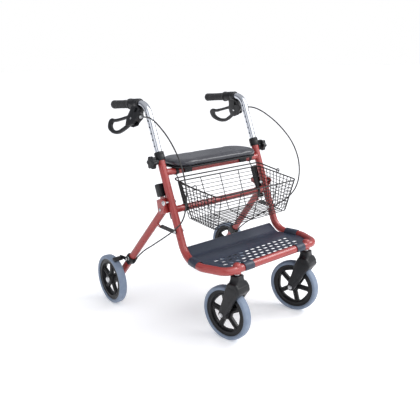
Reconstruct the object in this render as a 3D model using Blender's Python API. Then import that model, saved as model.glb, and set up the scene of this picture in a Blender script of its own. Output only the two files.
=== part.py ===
"""A four-wheeled rollator walker with a padded seat, a wire basket and a foot tray.

Metres, +Z up, floor at z = 0. The walker faces -Y, so its user stands at +Y. Left (L) is +X, right (R) is -X.
The origin is on the floor under the middle of the wheelbase.
"""

import math

import bmesh
import bpy
from mathutils import Matrix, Vector

# ---------------------------------------------------------------- driving dimensions
GAP = 0.0003                    # kept between pieces that touch
SIDES = {"L": 1, "R": -1}

WHEEL_R = 0.100
WHEEL_STEPS = 24
TYRE_HALF_WIDTH = 0.016
RIM_R = 0.0840
TYRE_INNER_R = 0.0848
REAR_AXLE = Vector((0.325, 0.273, WHEEL_R))
REAR_TOE = math.radians(3)
STEM = Vector((0.180, -0.320, 0.0))
CASTER_TRAIL = 0.047
CASTER_YAW = {"L": math.radians(12), "R": math.radians(7)}

FRAME_R = 0.0143                # 28.6 mm frame tube
HANDLE_R = 0.0127               # 25.4 mm handle tube
CROSS_R = 0.0127
GAUGE = 0.239                   # upright's centre to the middle plane
LEAN = math.radians(21)
COLLAR_Y, COLLAR_Z = 0.023, 0.630
LOOP_Z = 0.275
FRONT_BAR_Y = -0.322
SEAT_TUBE_Z = 0.569
LOWER_TUBE_Z = 0.440

HINGE = Vector((0.253, -0.015, 0.440))
FOLD_X_SLOPE = 0.0857           # how far the leg splays outwards per metre of its length
STRUT_BOLT_Z = 0.367
BRACKET_BOLT_Z = 0.469

GRIP_ORIGIN = Vector((GAUGE, 0.123, 0.8085))
GRIP_DROOP = math.radians(4)
BRAKE_TILT = math.radians(19)   # the brake hangs outwards from the grip
BOLT_R = 0.0034

UP_U = Vector((0, math.sin(LEAN), math.cos(LEAN)))      # up along an upright
UP_V = Vector((0, math.cos(LEAN), -math.sin(LEAN)))     # square to it, rearwards


def upright_y(z):
    return COLLAR_Y + (z - COLLAR_Z) * math.tan(LEAN)


# ---------------------------------------------------------------- scene, materials
def clear_scene():
    for item in list(bpy.data.objects):
        bpy.data.objects.remove(item)


def material(name, colour, roughness, metallic=0.0):
    made = bpy.data.materials.new(name)
    made.use_nodes = True
    shader = made.node_tree.nodes["Principled BSDF"]
    shader.inputs["Base Color"].default_value = (*colour, 1.0)
    shader.inputs["Roughness"].default_value = roughness
    shader.inputs["Metallic"].default_value = metallic
    return made


def make_materials():
    return {
        "frame": material("frame_red", (0.42, 0.045, 0.035), 0.3, 0.3),
        "chrome": material("chrome", (0.75, 0.76, 0.78), 0.12, 1.0),
        "steel": material("bright_steel", (0.6, 0.6, 0.6), 0.3, 1.0),
        "plastic": material("black_plastic", (0.02, 0.021, 0.025), 0.45),
        "tray": material("tray_plastic", (0.035, 0.042, 0.055), 0.4),
        "grip": material("grip_rubber", (0.025, 0.026, 0.028), 0.7),
        "tyre": material("grey_tyre", (0.2, 0.25, 0.34), 0.65),
        "rim": material("rim_plastic", (0.012, 0.012, 0.014), 0.4),
        "vinyl": material("seat_vinyl", (0.02, 0.021, 0.025), 0.35),
        "wire": material("black_wire", (0.015, 0.015, 0.016), 0.35, 0.2),
        "cable": material("cable_sleeve", (0.012, 0.012, 0.013), 0.5),
    }


# ---------------------------------------------------------------- shape helpers
def add_object(name, shape, finish=None, place=Matrix.Identity(4)):
    """Turns a bmesh into an object, its points measured from place."""
    bmesh.ops.remove_doubles(shape, verts=shape.verts, dist=1e-6)
    bmesh.ops.recalc_face_normals(shape, faces=shape.faces)
    mesh = bpy.data.meshes.new(name)
    shape.to_mesh(mesh)
    shape.free()
    mesh.shade_smooth()
    mesh.set_sharp_from_angle(angle=math.radians(35))
    made = bpy.data.objects.new(name, mesh)
    bpy.context.collection.objects.link(made)
    made.matrix_world = place
    if finish:
        mesh.materials.append(finish)
    return made


def turned(profile, steps=20, ring=False, phase=0.5):
    """A solid of revolution about local X. The profile is (radius, x) points; ring closes it on itself."""
    shape = bmesh.new()
    rows = []
    for radius, along in profile:
        if radius < 1e-9:
            rows.append([shape.verts.new((along, 0, 0))] * steps)
            continue
        angles = [2 * math.pi * (i + phase) / steps for i in range(steps)]
        rows.append([shape.verts.new((along, radius * math.cos(a), radius * math.sin(a))) for a in angles])
    pairs = list(zip(rows, rows[1:]))
    if ring:
        pairs.append((rows[-1], rows[0]))
    for first, second in pairs:
        for i in range(steps):
            corners = [first[i], first[(i + 1) % steps], second[(i + 1) % steps], second[i]]
            face = list(dict.fromkeys(corners))
            if len(face) > 2:
                shape.faces.new(face)
    return shape


def rod(radius, start, end, steps=14):
    """A plain round bar along local X."""
    return turned([(0, start), (radius, start), (radius, end), (0, end)], steps)


def swept(path, radius, sides=14, round_start=False):
    """A round tube along a path, with flat ends, or a half ball at its start."""
    points = [Vector(point) for point in path]
    ahead = [(b - a).normalized() for a, b in zip(points, points[1:])]
    tangents = [ahead[0]] + [(a + b).normalized() for a, b in zip(ahead, ahead[1:])] + [ahead[-1]]
    side = tangents[0].orthogonal().normalized()
    sections = []
    for tangent, point in zip(tangents, points):
        side = (side - tangent * side.dot(tangent)).normalized()
        sections.append((point, side.copy(), tangent.cross(side), radius))
    if round_start:
        point, across, up, _ = sections[0]
        ball = [math.radians(angle) for angle in (15, 40, 65)]
        cap = [(point - tangents[0] * radius * math.cos(a), across, up, radius * math.sin(a)) for a in ball]
        sections = cap + sections
    shape = bmesh.new()
    rings = []
    for point, across, up, size in sections:
        angles = [2 * math.pi * i / sides for i in range(sides)]
        rings.append([shape.verts.new(point + (across * math.cos(a) + up * math.sin(a)) * size) for a in angles])
    for first, second in zip(rings, rings[1:]):
        for i in range(sides):
            shape.faces.new((first[i], first[(i + 1) % sides], second[(i + 1) % sides], second[i]))
    shape.faces.new(rings[0])
    shape.faces.new(rings[-1])
    return shape


def rounded_path(corners, radii, steps=4):
    """The straight runs between corners, with an arc of the given radius at each inner corner."""
    corners = [Vector(corner) for corner in corners]
    path = [corners[0]]
    for before, corner, after, radius in zip(corners, corners[1:], corners[2:], radii):
        one, two = (before - corner).normalized(), (after - corner).normalized()
        half = one.angle(two) / 2
        bisector = (one + two).normalized()
        centre = corner + bisector * radius / math.sin(half)
        spoke_start = (corner + one * radius / math.tan(half) - centre).normalized()
        spoke_end = (corner + two * radius / math.tan(half) - centre).normalized()
        for i in range(steps + 1):
            path.append(centre + spoke_start.slerp(spoke_end, i / steps) * radius)
    path.append(corners[-1])
    return path


def prism(outline, low, high, axes=(Vector((0, 1, 0)), Vector((0, 0, 1)), Vector((1, 0, 0)))):
    """Extrudes a flat outline, given along the first two axes, from low to high along the third."""
    shape = bmesh.new()
    ends = []
    for level in (low, high):
        ends.append([shape.verts.new(axes[0] * a + axes[1] * b + axes[2] * level) for a, b in outline])
    shape.faces.new(ends[0])
    shape.faces.new(ends[1])
    count = len(outline)
    for i in range(count):
        shape.faces.new((ends[0][i], ends[0][(i + 1) % count], ends[1][(i + 1) % count], ends[1][i]))
    return shape


def box(low, high):
    outline = [(low[0], low[1]), (high[0], low[1]), (high[0], high[1]), (low[0], high[1])]
    return prism(outline, low[2], high[2], FLAT_AXES)


FLAT_AXES = (Vector((1, 0, 0)), Vector((0, 1, 0)), Vector((0, 0, 1)))


def rounded_rectangle(low, high, radius, steps=5):
    """The outline of a rectangle with round corners."""
    centres = [
        (high[0] - radius, high[1] - radius, 0),
        (low[0] + radius, high[1] - radius, 90),
        (low[0] + radius, low[1] + radius, 180),
        (high[0] - radius, low[1] + radius, 270),
    ]
    outline = []
    for x, y, start in centres:
        for i in range(steps + 1):
            angle = math.radians(start + 90 * i / steps)
            outline.append((x + radius * math.cos(angle), y + radius * math.sin(angle)))
    return outline


def arc(centre, radius, start, end, steps):
    """Points of a flat arc, angles in degrees."""
    angles = [math.radians(start + (end - start) * i / steps) for i in range(steps + 1)]
    return [(centre[0] + radius * math.cos(a), centre[1] + radius * math.sin(a)) for a in angles]


def beveled(thing, width, segments=1):
    bevel = thing.modifiers.new("edge", "BEVEL")
    bevel.width = width
    bevel.segments = segments
    bevel.limit_method = "ANGLE"
    bevel.angle_limit = math.radians(40)
    return thing


def combine(thing, operation, tools):
    for index, tool in enumerate(tools):
        step = thing.modifiers.new(f"{operation.lower()}_{index}", "BOOLEAN")
        step.operation = operation
        step.solver = "EXACT"
        step.object = tool
        tool.hide_render = True
        tool.display_type = "WIRE"
    return thing


def cut(thing, *tools):
    return combine(thing, "DIFFERENCE", tools)


def join(thing, *tools):
    return combine(thing, "UNION", tools)


def tool(name, shape, place=Matrix.Identity(4)):
    return add_object(f"tool_{name}", shape, None, place)


def at(point, side=1):
    return Matrix.Translation((point[0] * side, point[1], point[2]))


def across(point, side):
    """A place at a point given for the left side, with local X pointing outwards."""
    turn = Matrix.Identity(4) if side > 0 else Matrix.Rotation(math.pi, 4, "Z")
    return at(point, side) @ turn


def mirrored(points, side):
    return [Vector((point[0] * side, point[1], point[2])) for point in points]


def leg_point(distance):
    """A point on the left rear leg's centre line, this far below the hinge."""
    axle = Vector((0, REAR_AXLE.y - HINGE.y, REAR_AXLE.z - HINGE.z))
    return HINGE + axle.normalized() * distance + Vector((FOLD_X_SLOPE * distance, 0, 0))


LEG_LENGTH = math.hypot(REAR_AXLE.y - HINGE.y, REAR_AXLE.z - HINGE.z)
LEG_FRONT = (leg_point(1) - leg_point(0)).cross(Vector((1, 0, 0))).normalized()
BRAKE_AT = 0.318                # brake bracket's middle, down the leg from the hinge


# ---------------------------------------------------------------- frame
def upright_line(side, top, bottom):
    return [(GAUGE * side, upright_y(z), z) for z in (top, bottom)]


def loop_path():
    """The frame tube's centre line, from the left upright's top round the front to the right one's."""
    left = [
        (GAUGE, upright_y(COLLAR_Z), COLLAR_Z),
        (GAUGE, upright_y(LOOP_Z), LOOP_Z),
        (0.262, -0.227, LOOP_Z),
        (0.226, FRONT_BAR_Y, LOOP_Z),
    ]
    right = mirrored(reversed(left), -1)
    return rounded_path(left + right, [0.075, 0.060, 0.046, 0.046, 0.060, 0.075])


def make_front_frame(finish):
    frame = add_object("front_frame", swept(loop_path(), FRAME_R), finish)
    up = Matrix.Rotation(-math.pi / 2, 4, "Y")
    for name, side in SIDES.items():
        socket = turned([(0, 0.260), (FRAME_R, 0.260), (FRAME_R, 0.291), (0.010, 0.297), (0, 0.2985)], 12)
        join(frame, tool(f"socket_{name}", socket, at(STEM, side) @ up))
    for name, side in SIDES.items():
        bore = swept(upright_line(side, 0.66, 0.490), HANDLE_R + GAP)
        cut(frame, tool(f"upright_bore_{name}", bore))
        cut(frame, tool(f"stem_bore_{name}", rod(0.0065, 0.2, 0.289), at(STEM, side) @ up))
        for z in (STRUT_BOLT_Z, BRACKET_BOLT_Z):
            hole = rod(BOLT_R + GAP, -0.03, 0.03, 10)
            cut(frame, tool(f"bolt_hole_{name}_{z}", hole, across((GAUGE, upright_y(z), z), side)))


def make_cross_tube(name, z, finish):
    tube = add_object(name, rod(CROSS_R, -GAUGE, GAUGE), finish, at((0, upright_y(z), z)))
    for side in SIDES.values():
        cope = swept(upright_line(side, z + 0.06, z - 0.06), FRAME_R + GAP)
        cut(tube, tool(f"cope_{name}_{side}", cope))


# Outlines on the plane of an upright: (u up along it, v rearwards), from this point of its centre line.
PLATE_ORIGIN = Vector((0, upright_y(LOWER_TUBE_Z), LOWER_TUBE_Z))
WEB_V = FRAME_R + 0.0006
RELEASE_TRAVEL = 0.010
INNER_PLATE = (0.2345, 0.2380)
OUTER_PLATE = (0.2694, 0.2729)


def on_plate(y, z):
    offset = Vector((0, y, z)) - PLATE_ORIGIN
    return offset.dot(UP_U), offset.dot(UP_V)


def plate_prism(outline, x_range, side):
    axes = (UP_U, UP_V, Vector((side, 0, 0)))
    shape = prism(outline, x_range[0], x_range[1], axes)
    bmesh.ops.translate(shape, verts=shape.verts, vec=PLATE_ORIGIN)
    return shape


def make_hinge_bracket(name, side, finish):
    """Two plates behind the upright, joined by a web, with the leg's top between them."""
    hinge_u, hinge_v = on_plate(HINGE.y, HINGE.z)
    bolt_u = on_plate(upright_y(BRACKET_BOLT_Z), BRACKET_BOLT_Z)[0]
    lobe = arc((0.050, 0.056), 0.012, 150, -60, 8)
    inner = [(-0.012, WEB_V), (0.0560, WEB_V), (0.0560, 0.044)]
    inner += list(reversed(lobe)) + arc((hinge_u, hinge_v), 0.016, 60, 200, 6)
    outer = [(0.0, WEB_V), (bolt_u - 0.011, 0.0)] + arc((bolt_u, 0), 0.011, 200, 350, 6)
    outer += [(0.0500, WEB_V), (0.0500, 0.040)] + arc((hinge_u, hinge_v), 0.016, 60, 200, 6)
    web = [(-0.004, WEB_V + 0.0003), (0.0480, WEB_V + 0.0003), (0.0480, WEB_V + 0.0033), (-0.004, WEB_V + 0.0033)]
    bracket = add_object(f"hinge_bracket_{name}", plate_prism(inner, INNER_PLATE, side), finish)
    join(bracket, tool(f"web_{name}", plate_prism(web, (INNER_PLATE[0] + 0.001, OUTER_PLATE[1] - 0.001), side)))
    join(bracket, tool(f"outer_plate_{name}", plate_prism(outer, OUTER_PLATE, side)))
    for label, y, z in (("pin", HINGE.y, HINGE.z), ("bolt", upright_y(BRACKET_BOLT_Z), BRACKET_BOLT_Z)):
        hole = rod(0.0040 + GAP, -0.03, 0.04, 10)
        cut(bracket, tool(f"bracket_{label}_hole_{name}", hole, across((GAUGE, y, z), side)))


def bolt_shape(radius, head_start, head_length, tail_end, nut_length):
    """A bolt along local X: shank, outer head with a domed face, and inner nut."""
    head = 2.0 * radius
    return turned([
        (0, tail_end - nut_length), (head * 0.85, tail_end - nut_length), (head * 0.85, tail_end), (radius, tail_end),
        (radius, head_start), (head, head_start), (head, head_start + head_length * 0.6),
        (head * 0.6, head_start + head_length), (0, head_start + head_length),
    ], 12)


def make_frame_bolts(name, side, finish):
    places = {
        f"hinge_pin_{name}": (HINGE.y, HINGE.z, 0.0040, OUTER_PLATE[1], INNER_PLATE[0]),
        f"bracket_bolt_{name}": (upright_y(BRACKET_BOLT_Z), BRACKET_BOLT_Z, BOLT_R, OUTER_PLATE[1], GAUGE - FRAME_R),
        f"strut_bolt_{name}": (upright_y(STRUT_BOLT_Z), STRUT_BOLT_Z, BOLT_R, STRUT_X[1], GAUGE - FRAME_R),
    }
    for label, (y, z, radius, outer, inner) in places.items():
        head_start, tail_end = outer + GAP - GAUGE, inner - GAP - GAUGE
        shape = bolt_shape(radius, head_start, 0.0045, tail_end, 0.0035)
        add_object(label, shape, finish, across((GAUGE, y, z), side))


def make_fold_release(name, side, finish):
    """The sliding lock: a cap behind the upright, above the hinge, and a body on the bracket's inner side."""
    cap = rounded_rectangle((0.0575, 0.0175), (0.1060, 0.0425), 0.006, 2)
    body = rounded_rectangle((-0.030, 0.0165), (0.0700, 0.0400), 0.004, 2)
    piece = add_object(f"fold_release_{name}", plate_prism(cap, (0.2240, 0.2660), side), finish)
    join(piece, tool(f"release_body_{name}", plate_prism(body, (0.2220, INNER_PLATE[0] - GAP), side)))
    nut_u, nut_v = on_plate(HINGE.y, HINGE.z)
    low, high = (nut_u - 0.0085 - RELEASE_TRAVEL, nut_v - 0.0085), (nut_u + 0.0085, nut_v + 0.02)
    room = [low, (high[0], low[1]), high, (low[0], high[1])]
    cut(piece, tool(f"pin_nut_room_{name}", plate_prism(room, (0.21, 0.2360), side)))


# ---------------------------------------------------------------- seat, tray, basket
def make_seat(finishes):
    outline = rounded_rectangle((-0.205, -0.052), (0.205, 0.098), 0.060)
    base = add_object("seat_base", prism(outline, 0.5822, 0.5880, FLAT_AXES), finishes["plastic"])
    for name, side in SIDES.items():
        saddle = rounded_rectangle((-0.019, 0.5600), (0.019, 0.5850), 0.006, 2)
        low, high = sorted((0.122 * side, 0.158 * side))
        join(base, tool(f"saddle_{name}", prism(saddle, low, high)))
    tube = rod(CROSS_R + GAP, -0.2, 0.2)
    cut(base, tool("saddle_bore", tube, at((0, upright_y(SEAT_TUBE_Z), SEAT_TUBE_Z))))
    pad = rounded_rectangle((-0.215, -0.062), (0.215, 0.108), 0.068, 6)
    cushion = add_object("seat_cushion", prism(pad, 0.5883, 0.6140, FLAT_AXES), finishes["vinyl"])
    beveled(cushion, 0.008, 2)


DECK_Z = 0.2745
DECK_FRONT_Y = -0.3065
TRAY_THICKNESS = 0.003
CLIP_R = FRAME_R + 0.0035


def tray_profile():
    """The tray's mid line in a side view, (y, z), from its raised rear lip to the front edge."""
    lip = arc((-0.0900, 0.2915), 0.0095, 20, 125, 4)
    scoop = arc((-0.1434, DECK_Z + 0.040), 0.040, 305, 270, 4)
    return lip + scoop + [(DECK_FRONT_Y, DECK_Z)]


def make_tray(finish):
    middle = [Vector((0, y, z)) for y, z in tray_profile()]
    ahead = [(b - a).normalized() for a, b in zip(middle, middle[1:])]
    tangents = [ahead[0]] + [(a + b).normalized() for a, b in zip(ahead, ahead[1:])] + [ahead[-1]]
    half = TRAY_THICKNESS / 2
    above = [(p + Vector((0, -t.z, t.y)) * -half) for p, t in zip(middle, tangents)]
    below = [(p + Vector((0, -t.z, t.y)) * half) for p, t in zip(middle, tangents)]
    outline = [(p.y, p.z) for p in above] + [(p.y, p.z) for p in reversed(below)]
    tray = add_object("tray", prism(outline, -0.222, 0.222), finish)

    corner = [(0.170, -0.330), (0.240, -0.330), (0.240, -0.255), (0.2205, -0.282), (0.200, -0.3000)]
    for name, side in SIDES.items():
        shape = prism([(x * side, y) for x, y in corner], 0.25, 0.33, FLAT_AXES)
        cut(tray, tool(f"tray_corner_{name}", shape))

    holes = bmesh.new()
    for row in range(4):
        count = 5 if row % 2 else 6
        for i in range(count):
            x = (i - (count - 1) / 2) * 0.0600
            y = -0.2140 - row * 0.0230
            hole = [(x - 0.0140, y), (x, y - 0.0065), (x + 0.0140, y), (x, y + 0.0065)]
            piece = prism(hole, 0.26, 0.29, FLAT_AXES)
            bmesh.ops.recalc_face_normals(piece, faces=piece.faces)
            mesh = bpy.data.meshes.new("hole")
            piece.to_mesh(mesh)
            piece.free()
            holes.from_mesh(mesh)
            bpy.data.meshes.remove(mesh)
    cut(tray, tool("tray_holes", holes))

    clips = {
        "side_L": [(0.2470, -0.160, LOOP_Z), (0.2560, -0.213, LOOP_Z)],
        "side_R": [(-0.2470, -0.160, LOOP_Z), (-0.2560, -0.213, LOOP_Z)],
        "front_L": [(0.112, FRONT_BAR_Y, LOOP_Z), (0.155, FRONT_BAR_Y, LOOP_Z)],
        "front_R": [(-0.112, FRONT_BAR_Y, LOOP_Z), (-0.155, FRONT_BAR_Y, LOOP_Z)],
    }
    low, high = DECK_Z - 0.0011, DECK_Z + 0.0011
    tabs = {
        "side_L": ((0.2150, -0.2050, low), (0.2400, -0.1650, high)),
        "side_R": ((-0.2400, -0.2050, low), (-0.2150, -0.1650, high)),
        "front_L": ((0.115, -0.312, low), (0.152, -0.303, high)),
        "front_R": ((-0.152, -0.312, low), (-0.115, -0.303, high)),
    }
    for name, path in clips.items():
        join(tray, tool(f"clip_{name}", swept(path, CLIP_R)), tool(f"tab_{name}", box(*tabs[name])))
    cut(tray, tool("frame_room", swept(loop_path(), FRAME_R + GAP)))
    for name, side in SIDES.items():
        room = prism(arc((STEM.x * side, STEM.y), FRAME_R + 0.0006, 0, 330, 11), 0.24, 0.31, FLAT_AXES)
        cut(tray, tool(f"socket_room_{name}", room))
    for name, (near, far) in tabs.items():
        middle_x, middle_y = (near[0] + far[0]) / 2, (near[1] + far[1]) / 2
        slot = box((middle_x - 0.06, middle_y - 0.04, 0.2), (middle_x + 0.06, middle_y + 0.04, LOOP_Z - 0.0075))
        cut(tray, tool(f"clip_mouth_{name}", slot))


# The basket's corners for the left side: rim and floor, rear and front.
RIM_REAR = Vector((0.210, -0.033, 0.538))
RIM_FRONT = Vector((0.200, -0.249, 0.515))
FLOOR_REAR = Vector((0.197, -0.083, 0.405))
FLOOR_FRONT = Vector((0.185, -0.212, 0.387))
BASKET_WALL = 0.004


def frustum(top, bottom):
    """A box between two loops of four corners."""
    shape = bmesh.new()
    rings = [[shape.verts.new(corner) for corner in loop] for loop in (bottom, top)]
    shape.faces.new(rings[0])
    shape.faces.new(rings[1])
    for i in range(4):
        shape.faces.new((rings[0][i], rings[0][(i + 1) % 4], rings[1][(i + 1) % 4], rings[1][i]))
    return shape


def basket_loop(rear, front, spread=0.0, lift=0.0):
    """Four corners, moved outwards by spread and upwards by lift."""
    loop = []
    for corner, side, way in ((rear, 1, 1), (rear, -1, 1), (front, -1, -1), (front, 1, -1)):
        loop.append(Vector(((corner.x + spread) * side, corner.y + spread * way, corner.z + lift)))
    return loop


def make_basket(finish):
    shell = frustum(basket_loop(RIM_REAR, RIM_FRONT), basket_loop(FLOOR_REAR, FLOOR_FRONT))
    basket = add_object("basket", shell, finish)
    lip = frustum(basket_loop(RIM_REAR, RIM_FRONT, 0.004), basket_loop(RIM_REAR, RIM_FRONT, 0.004, -0.005))
    join(basket, tool("basket_lip", lip))
    above_rear, above_front = FLOOR_REAR.lerp(RIM_REAR, 1.3), FLOOR_FRONT.lerp(RIM_FRONT, 1.3)
    room = frustum(
        basket_loop(above_rear, above_front, -BASKET_WALL),
        basket_loop(FLOOR_REAR, FLOOR_FRONT, -BASKET_WALL, BASKET_WALL),
    )
    cut(basket, tool("basket_room", room))


BAIL_PIVOT = Vector((0.2170, -0.141, 0.5310))
BAIL_R = 0.0025


def make_basket_bail(finish):
    corner = Vector((BAIL_PIVOT.x, -0.0260, 0.5490))
    left = [BAIL_PIVOT + Vector((0, -0.006, -0.001)), corner]
    path = rounded_path(left + mirrored(reversed(left), -1), [0.018, 0.018], 4)
    add_object("basket_bail", swept(path, BAIL_R, 8), finish)


def make_basket_strap(name, side, finish):
    """A flat bar from the seat tube down to the lower tube, with a shelf under the basket's rim."""
    front = [(-0.0065, 0.5555), (-0.0230, 0.5322), (-0.0335, 0.5315), (-0.0335, 0.5275),
             (-0.0245, 0.5260), (-0.0530, 0.4535)]
    rear = [(-0.0490, 0.4535), (-0.0185, 0.5320), (-0.0025, 0.5555)]
    low, high = sorted((0.179 * side, 0.194 * side))
    strap = add_object(f"basket_strap_{name}", prism(front + rear, low, high), finish)
    for z in (SEAT_TUBE_Z, LOWER_TUBE_Z):
        room = rod(CROSS_R + GAP, -0.23, 0.23)
        cut(strap, tool(f"strap_room_{name}_{z}", room, at((0, upright_y(z), z))))


# ---------------------------------------------------------------- handles and brakes
GRIP_A = Vector((0, math.cos(GRIP_DROOP), -math.sin(GRIP_DROOP)))


def brake_axes(side):
    """Along the grip, down and outwards from it, and square to both."""
    down = Vector((side * math.sin(BRAKE_TILT), 0, -math.cos(BRAKE_TILT)))
    down = (down - GRIP_A * down.dot(GRIP_A)).normalized()
    return GRIP_A, down, GRIP_A.cross(down)


def grip_place(side):
    """Local X runs along the grip."""
    axes = brake_axes(side)
    turn = Matrix((axes[0], axes[1], axes[2])).transposed().to_4x4()
    return at(GRIP_ORIGIN, side) @ turn


def handle_path(side):
    bottom = Vector((GAUGE, upright_y(0.550), 0.550))
    slope, droop = math.tan(LEAN), math.tan(GRIP_DROOP)
    corner_y = (COLLAR_Y + (GRIP_ORIGIN.z - COLLAR_Z + GRIP_ORIGIN.y * droop) * slope) / (1 + droop * slope)
    corner = Vector((GAUGE, corner_y, COLLAR_Z + (corner_y - COLLAR_Y) / slope))
    end = GRIP_ORIGIN + GRIP_A * 0.186
    return mirrored(rounded_path([bottom, corner, end], [0.050], 6), side)


def make_handle(name, side, finishes):
    tube = add_object(f"handle_tube_{name}", swept(handle_path(side), HANDLE_R), finishes["chrome"])
    for i in range(6):
        z = 0.662 + i * 0.022
        hole = rod(0.0032, -0.02, 0.02, 8)
        cut(tube, tool(f"height_hole_{name}_{i}", hole, at((GAUGE, upright_y(z), z), side)))
    sleeve = [(0, 0.1945), (0.011, 0.1935), (0.0160, 0.1890), (0.0160, 0.0850), (0.0170, 0.0790), (0.0205, 0.0755),
              (0.0205, 0.0665), (HANDLE_R + GAP, 0.0665), (HANDLE_R + GAP, 0.1865), (0, 0.1865)]
    add_object(f"grip_{name}", turned(sleeve, 20), finishes["grip"], grip_place(side))


# The brake's outlines: (a along the grip from its front end, s down and outwards from its centre line).
HOUSING = [(0.008, 0.010), (-0.004, 0.020), (-0.014, 0.030), (-0.014, 0.056), (-0.006, 0.074), (0.012, 0.084),
           (0.040, 0.086), (0.058, 0.082), (0.063, 0.068), (0.060, 0.040), (0.058, 0.010)]
LEVER = [(0.012, 0.054), (0.020, 0.045), (0.045, 0.041), (0.075, 0.045), (0.118, 0.053), (0.160, 0.058),
         (0.180, 0.0555), (0.193, 0.058), (0.2015, 0.066), (0.203, 0.080), (0.196, 0.097), (0.175, 0.109),
         (0.148, 0.116), (0.118, 0.115), (0.090, 0.106), (0.062, 0.092), (0.038, 0.078), (0.018, 0.067)]
FINGER_GAP = [(0.070, 0.057), (0.115, 0.063), (0.150, 0.069), (0.170, 0.070), (0.178, 0.078), (0.172, 0.091),
              (0.152, 0.101), (0.122, 0.102), (0.090, 0.090), (0.068, 0.076)]
LEVER_PIN = (0.032, 0.058)
LEVER_HALF = 0.006
HOUSING_HALF = 0.0135


def brake_prism(outline, half):
    return prism(outline, -half, half, FLAT_AXES)


def make_brake(name, side, finishes):
    place = grip_place(side)
    sideways = place @ at((LEVER_PIN[0], LEVER_PIN[1], 0)) @ Matrix.Rotation(-math.pi / 2, 4, "Y")
    housing = add_object(f"brake_housing_{name}", brake_prism(HOUSING, HOUSING_HALF), finishes["plastic"], place)
    collar = turned([(0, 0.0080), (0.0190, 0.0080), (0.0190, 0.0655), (0, 0.0655)], 20)
    adjuster = rod(0.0042, ADJUSTER[0], 0.0, 10)
    join(housing, tool(f"housing_collar_{name}", collar, place),
         tool(f"cable_adjuster_{name}", adjuster, place @ at((0, ADJUSTER[1], 0))))
    cut(housing, tool(f"housing_bore_{name}", swept(handle_path(side), HANDLE_R + GAP)))
    slot = [(0.003, 0.030), (0.10, 0.030), (0.10, 0.11), (0.003, 0.11)]
    cut(housing, tool(f"lever_slot_{name}", brake_prism(slot, LEVER_HALF + GAP), place))
    cut(housing, tool(f"pin_hole_{name}", rod(0.0030 + GAP, -0.03, 0.03, 10), sideways))

    lever = add_object(f"brake_lever_{name}", brake_prism(LEVER, LEVER_HALF), finishes["plastic"], place)
    cut(lever, tool(f"finger_gap_{name}", brake_prism(FINGER_GAP, 0.02), place))
    cut(lever, tool(f"lever_hole_{name}", rod(0.0030 + GAP, -0.03, 0.03, 10), sideways))

    add_object(f"lever_pin_{name}", rod(0.0030, -HOUSING_HALF, HOUSING_HALF, 10), finishes["steel"], sideways)


# The left cable between its ends, in front of the upright and back under it to the rear brake.
CABLE_ROUTE = [
    (0.2600, 0.0400, 0.7630), (0.2660, -0.0150, 0.7440), (0.2730, -0.0850, 0.7020), (0.2800, -0.1450, 0.6450),
    (0.2840, -0.1780, 0.5850), (0.2850, -0.1880, 0.5250), (0.2840, -0.1780, 0.4700), (0.2800, -0.1480, 0.4220),
    (0.2745, -0.0950, 0.3800), (0.2720, -0.0300, 0.3370), (0.2730, 0.0450, 0.2890), (0.2750, 0.1000, 0.2540),
]
CABLE_R = 0.0025
ADJUSTER = (-0.0160, 0.050)     # the cable's exit from the brake: a and s, as above
CABLE_STOP = (BRAKE_AT - 0.0183, 0.0210)    # its end at the rear brake: down the leg, and in front of it


def cable_path(side):
    a, s = ADJUSTER
    axes = brake_axes(1)
    start = GRIP_ORIGIN + axes[0] * (a - GAP) + axes[1] * s
    distance, forward = CABLE_STOP
    finish = leg_point(distance) + LEG_FRONT * forward
    before = leg_point(distance - 0.030) + LEG_FRONT * (forward + 0.001)
    after = start - GRIP_A * 0.020 + Vector((0.0010, 0, 0))
    return mirrored(smooth_route([start, after] + CABLE_ROUTE + [before, finish]), side)


def smooth_route(route, step=0.022):
    """Even points on a smooth curve through the route's points (Catmull-Rom)."""
    points = [Vector(point) for point in route]
    points = [points[0] * 2 - points[1]] + points + [points[-1] * 2 - points[-2]]
    dense = []
    for a, b, c, d in zip(points, points[1:], points[2:], points[3:]):
        for i in range(20):
            t = i / 20
            dense.append(0.5 * (b * 2 + (c - a) * t + (a * 2 - b * 5 + c * 4 - d) * t ** 2
                                + (b * 3 - a - c * 3 + d) * t ** 3))
    dense.append(points[-2])
    even, travelled = [dense[0]], 0.0
    for before, after in zip(dense, dense[1:]):
        travelled += (after - before).length
        if travelled >= step:
            even.append(after)
            travelled = 0.0
    even[-1] = dense[-1]
    return even


def make_cable(name, side, finish):
    curve = bpy.data.curves.new(f"brake_cable_{name}", "CURVE")
    curve.dimensions = "3D"
    curve.bevel_depth = CABLE_R
    curve.bevel_resolution = 2
    curve.render_resolution_u = 0
    curve.use_fill_caps = True
    route = cable_path(side)
    spline = curve.splines.new("POLY")
    spline.points.add(len(route) - 1)
    for point, place in zip(spline.points, route):
        point.co = (*place, 1.0)
    curve.materials.append(finish)
    cable = bpy.data.objects.new(f"brake_cable_{name}", curve)
    bpy.context.collection.objects.link(cable)


KNOB_AT = Vector((GAUGE, upright_y(0.609), 0.609))


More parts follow.
